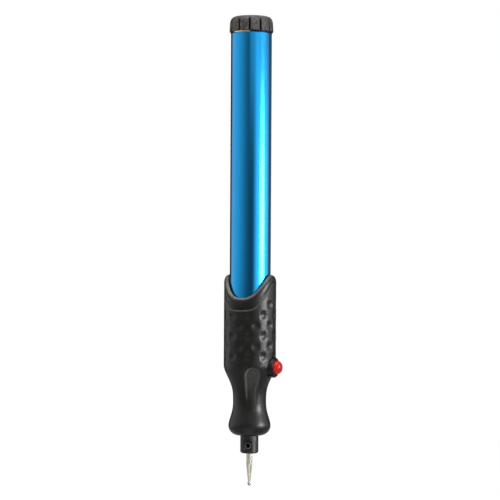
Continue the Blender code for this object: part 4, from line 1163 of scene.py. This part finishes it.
# Studio: white floor and surround, a light above, and a tent that only reflections see
studioSet = {
    "floorSize": 6.0,
    "floorDrop": 10 * mm,  # below the tip, so that the burr can be pulled out
    "floorColor": 0.9,
    "whiten": 0.93,
    "shadowReach": (0.06, 0.3),  # the floor turns to plain white between these distances
    "ambient": 0.75,
    "tentRadius": 0.55,
    "tentHeight": 0.6,
    "tentGap": 1 * mm,  # over the floor
    "tone": 0.15,  # of the tent between its glows
    "topHeight": 0.6,
    "topReach": 0.26,
    "topSize": 0.5,
    "topLevel": 7.0,
    "flagGap": 0.5 * mm,  # over the floor
    "flagReach": (0.17, 0.55),
    "flagLevel": 0.14,
    "flagAngles": ((-75, 45), (100, 230)),  # degrees right of the camera
    "ringReach": (0.006, 0.17),
    "ringLevel": 0.5,
    "ringAngles": ((28, 332),),
}
floorHeight = cadBox[0].z - studioSet["floorDrop"]
tentGlows = {
    # degrees right of the camera, half width, soft edge, brightness,
    # then the heights where it starts, is full, fades and ends
    "strip": (68, 6, 11, 49, 0.02, 0.045, 0.06, 0.165),
    "stripHigh": (72, 22, 10, 2.2, 0.21, 0.27, 0.5, 0.62),
    "stripLow": (64, 8, 9, 0.5, -0.3, -0.2, 0.01, 0.05),
    "stripGlow": (70, 26, 34, 2.1, -0.1, -0.08, 0.09, 0.3),
    "leftRamp": (-110, 14, 102, 1.02, -0.01, 0.03, 0.5, 0.7),
    "leftLow": (-122, 24, 6, 0.85, -0.3, -0.2, 0.0, 0.04),
    "leftBack": (-162, 14, 30, -1.2, -0.3, -0.2, 0.5, 0.7),
    "frontHigh": (18, 14, 20, 0.8, 0.125, 0.2, 0.3, 0.4),
}

def whiteToEye(start):  # 1 for the rays that show the background, 0 for those that carry light
    path = start.add("ShaderNodeLightPath").socket.node
    seen = Wire(start.tree, path.outputs["Is Camera Ray"])
    seen = seen.atLeast(Wire(start.tree, path.outputs["Is Glossy Ray"]))
    return seen.atLeast(Wire(start.tree, path.outputs["Is Transmission Ray"]))

def tentFinish():
    material = newMaterial("tent")
    tree = material.node_tree
    tree.nodes.clear()
    start = Wire(tree)
    x, y, z = start.add("ShaderNodeTexCoord", output=3).parts()
    front = radians(cameraSet["azimuth"] - 90)
    angle = x.calc("ARCTAN2", y, x) - front
    level = studioSet["tone"]
    for aside, half, soft, bright, begin, full, fade, end in tentGlows.values():
        off = angle.calc("WRAP", angle - radians(aside), pi, -pi)
        across = off.calc("ABSOLUTE", off).smooth(radians(half + soft), radians(half))
        level = level + across * z.smooth(begin, full) * z.smooth(end, fade) * bright
    level = level.atLeast(0.0)
    light = start.add("ShaderNodeEmission", None, {"Color": level})
    output = tree.nodes.new("ShaderNodeOutputMaterial")
    tree.links.new(light.socket, output.inputs["Surface"])
    return material

def floorFinish():
    material = newMaterial("floor")
    tree = material.node_tree
    start = Wire(tree)
    paint = studioSet["floorColor"]
    feed(material, base_color=(paint, paint, paint, 1), roughness=0.9)
    white = start.add("ShaderNodeEmission")
    lit = Wire(tree, tree.nodes["Principled BSDF"].outputs[0])
    x, y = start.add("ShaderNodeTexCoord", output=3).parts()[:2]
    away = ((x * x + y * y) ** 0.5).smooth(*studioSet["shadowReach"])
    whiten = studioSet["whiten"]
    share = whiteToEye(start) * (whiten + away * (1 - whiten))
    mixed = start.add("ShaderNodeMixShader", None, {0: share, 1: lit, 2: white})
    tree.links.new(mixed.socket, tree.nodes["Material Output"].inputs["Surface"])
    return material

def glowingCard(name, body, level):  # lights and shows in reflections, unseen by the camera
    mesh = plainMesh(name, body)
    material = newMaterial(name)
    feed(
        material,
        base_color=(0, 0, 0, 1),
        specular_ior_level=0.0,
        emission_color=(level, level, level, 1),
        emission_strength=1.0,
    )
    mesh.materials.append(material)
    card = scratchObject(mesh)
    card.visible_camera = card.visible_shadow = False
    return card

def floorFlag(name, spans, reach, level):  # flat arcs just over the floor, seen in reflections only
    body = bmesh.new()
    height = floorHeight + studioSet["flagGap"]
    for span in spans:
        first, last = (radians(cameraSet["azimuth"] - 90 + aside) for aside in span)
        angles = [*steps(first, last, 24), last]
        ways = [(cos(a), sin(a)) for a in angles]
        arcs = [[body.verts.new((r * x, r * y, height)) for x, y in ways] for r in reach]
        for one, two, three, four in zip(arcs[0], arcs[0][1:], arcs[1][1:], arcs[1]):
            body.faces.new((one, four, three, two))
    flag = glowingCard(name, body, level)
    flag.visible_diffuse = False
    return flag

def makeStudio():
    s = studioSet
    world = bpy.data.worlds.new("studio")
    bpy.context.scene.world = world
    world.use_nodes = True
    dim = s["ambient"]
    sky = whiteToEye(Wire(world.node_tree)).blend((dim, dim, dim), (1, 1, 1))
    world.node_tree.links.new(sky.socket, world.node_tree.nodes["Background"].inputs["Color"])

    body = bmesh.new()
    half = s["floorSize"] / 2
    corners = [(-half, -half), (half, -half), (half, half), (-half, half)]
    body.faces.new([body.verts.new((x, y, floorHeight)) for x, y in corners])
    mesh = plainMesh("floor", body)
    mesh.materials.append(floorFinish())
    floor = scratchObject(mesh)

    body = bmesh.new()
    shape = Matrix.Translation((0, 0, floorHeight + s["tentHeight"] / 2 + s["tentGap"]))
    bmesh.ops.create_cone(
        body,
        segments=96,
        radius1=s["tentRadius"],
        radius2=s["tentRadius"],
        depth=s["tentHeight"],
        matrix=shape,
    )
    mesh = plainMesh("tent", body)
    mesh.materials.append(tentFinish())
    tent = scratchObject(mesh)
    tent.visible_camera = tent.visible_shadow = tent.visible_diffuse = False

    body = bmesh.new()
    turn = Matrix.Rotation(radians(cameraSet["azimuth"]), 4, "Z")
    shape = turn @ Matrix.Translation((0, -s["topReach"], s["topHeight"]))
    bmesh.ops.create_grid(body, x_segments=1, y_segments=1, size=s["topSize"] / 2, matrix=shape)
    top = glowingCard("topLight", body, s["topLevel"])

    # the flag darkens the grip in front, and the ring the nose and the sides of the burr
    flag = floorFlag("darkFlag", s["flagAngles"], s["flagReach"], s["flagLevel"])
    ring = floorFlag("darkRing", s["ringAngles"], s["ringReach"], s["ringLevel"])

makeStudio()
print("studio made")

scene = bpy.context.scene
scene.view_settings.view_transform = "Standard"
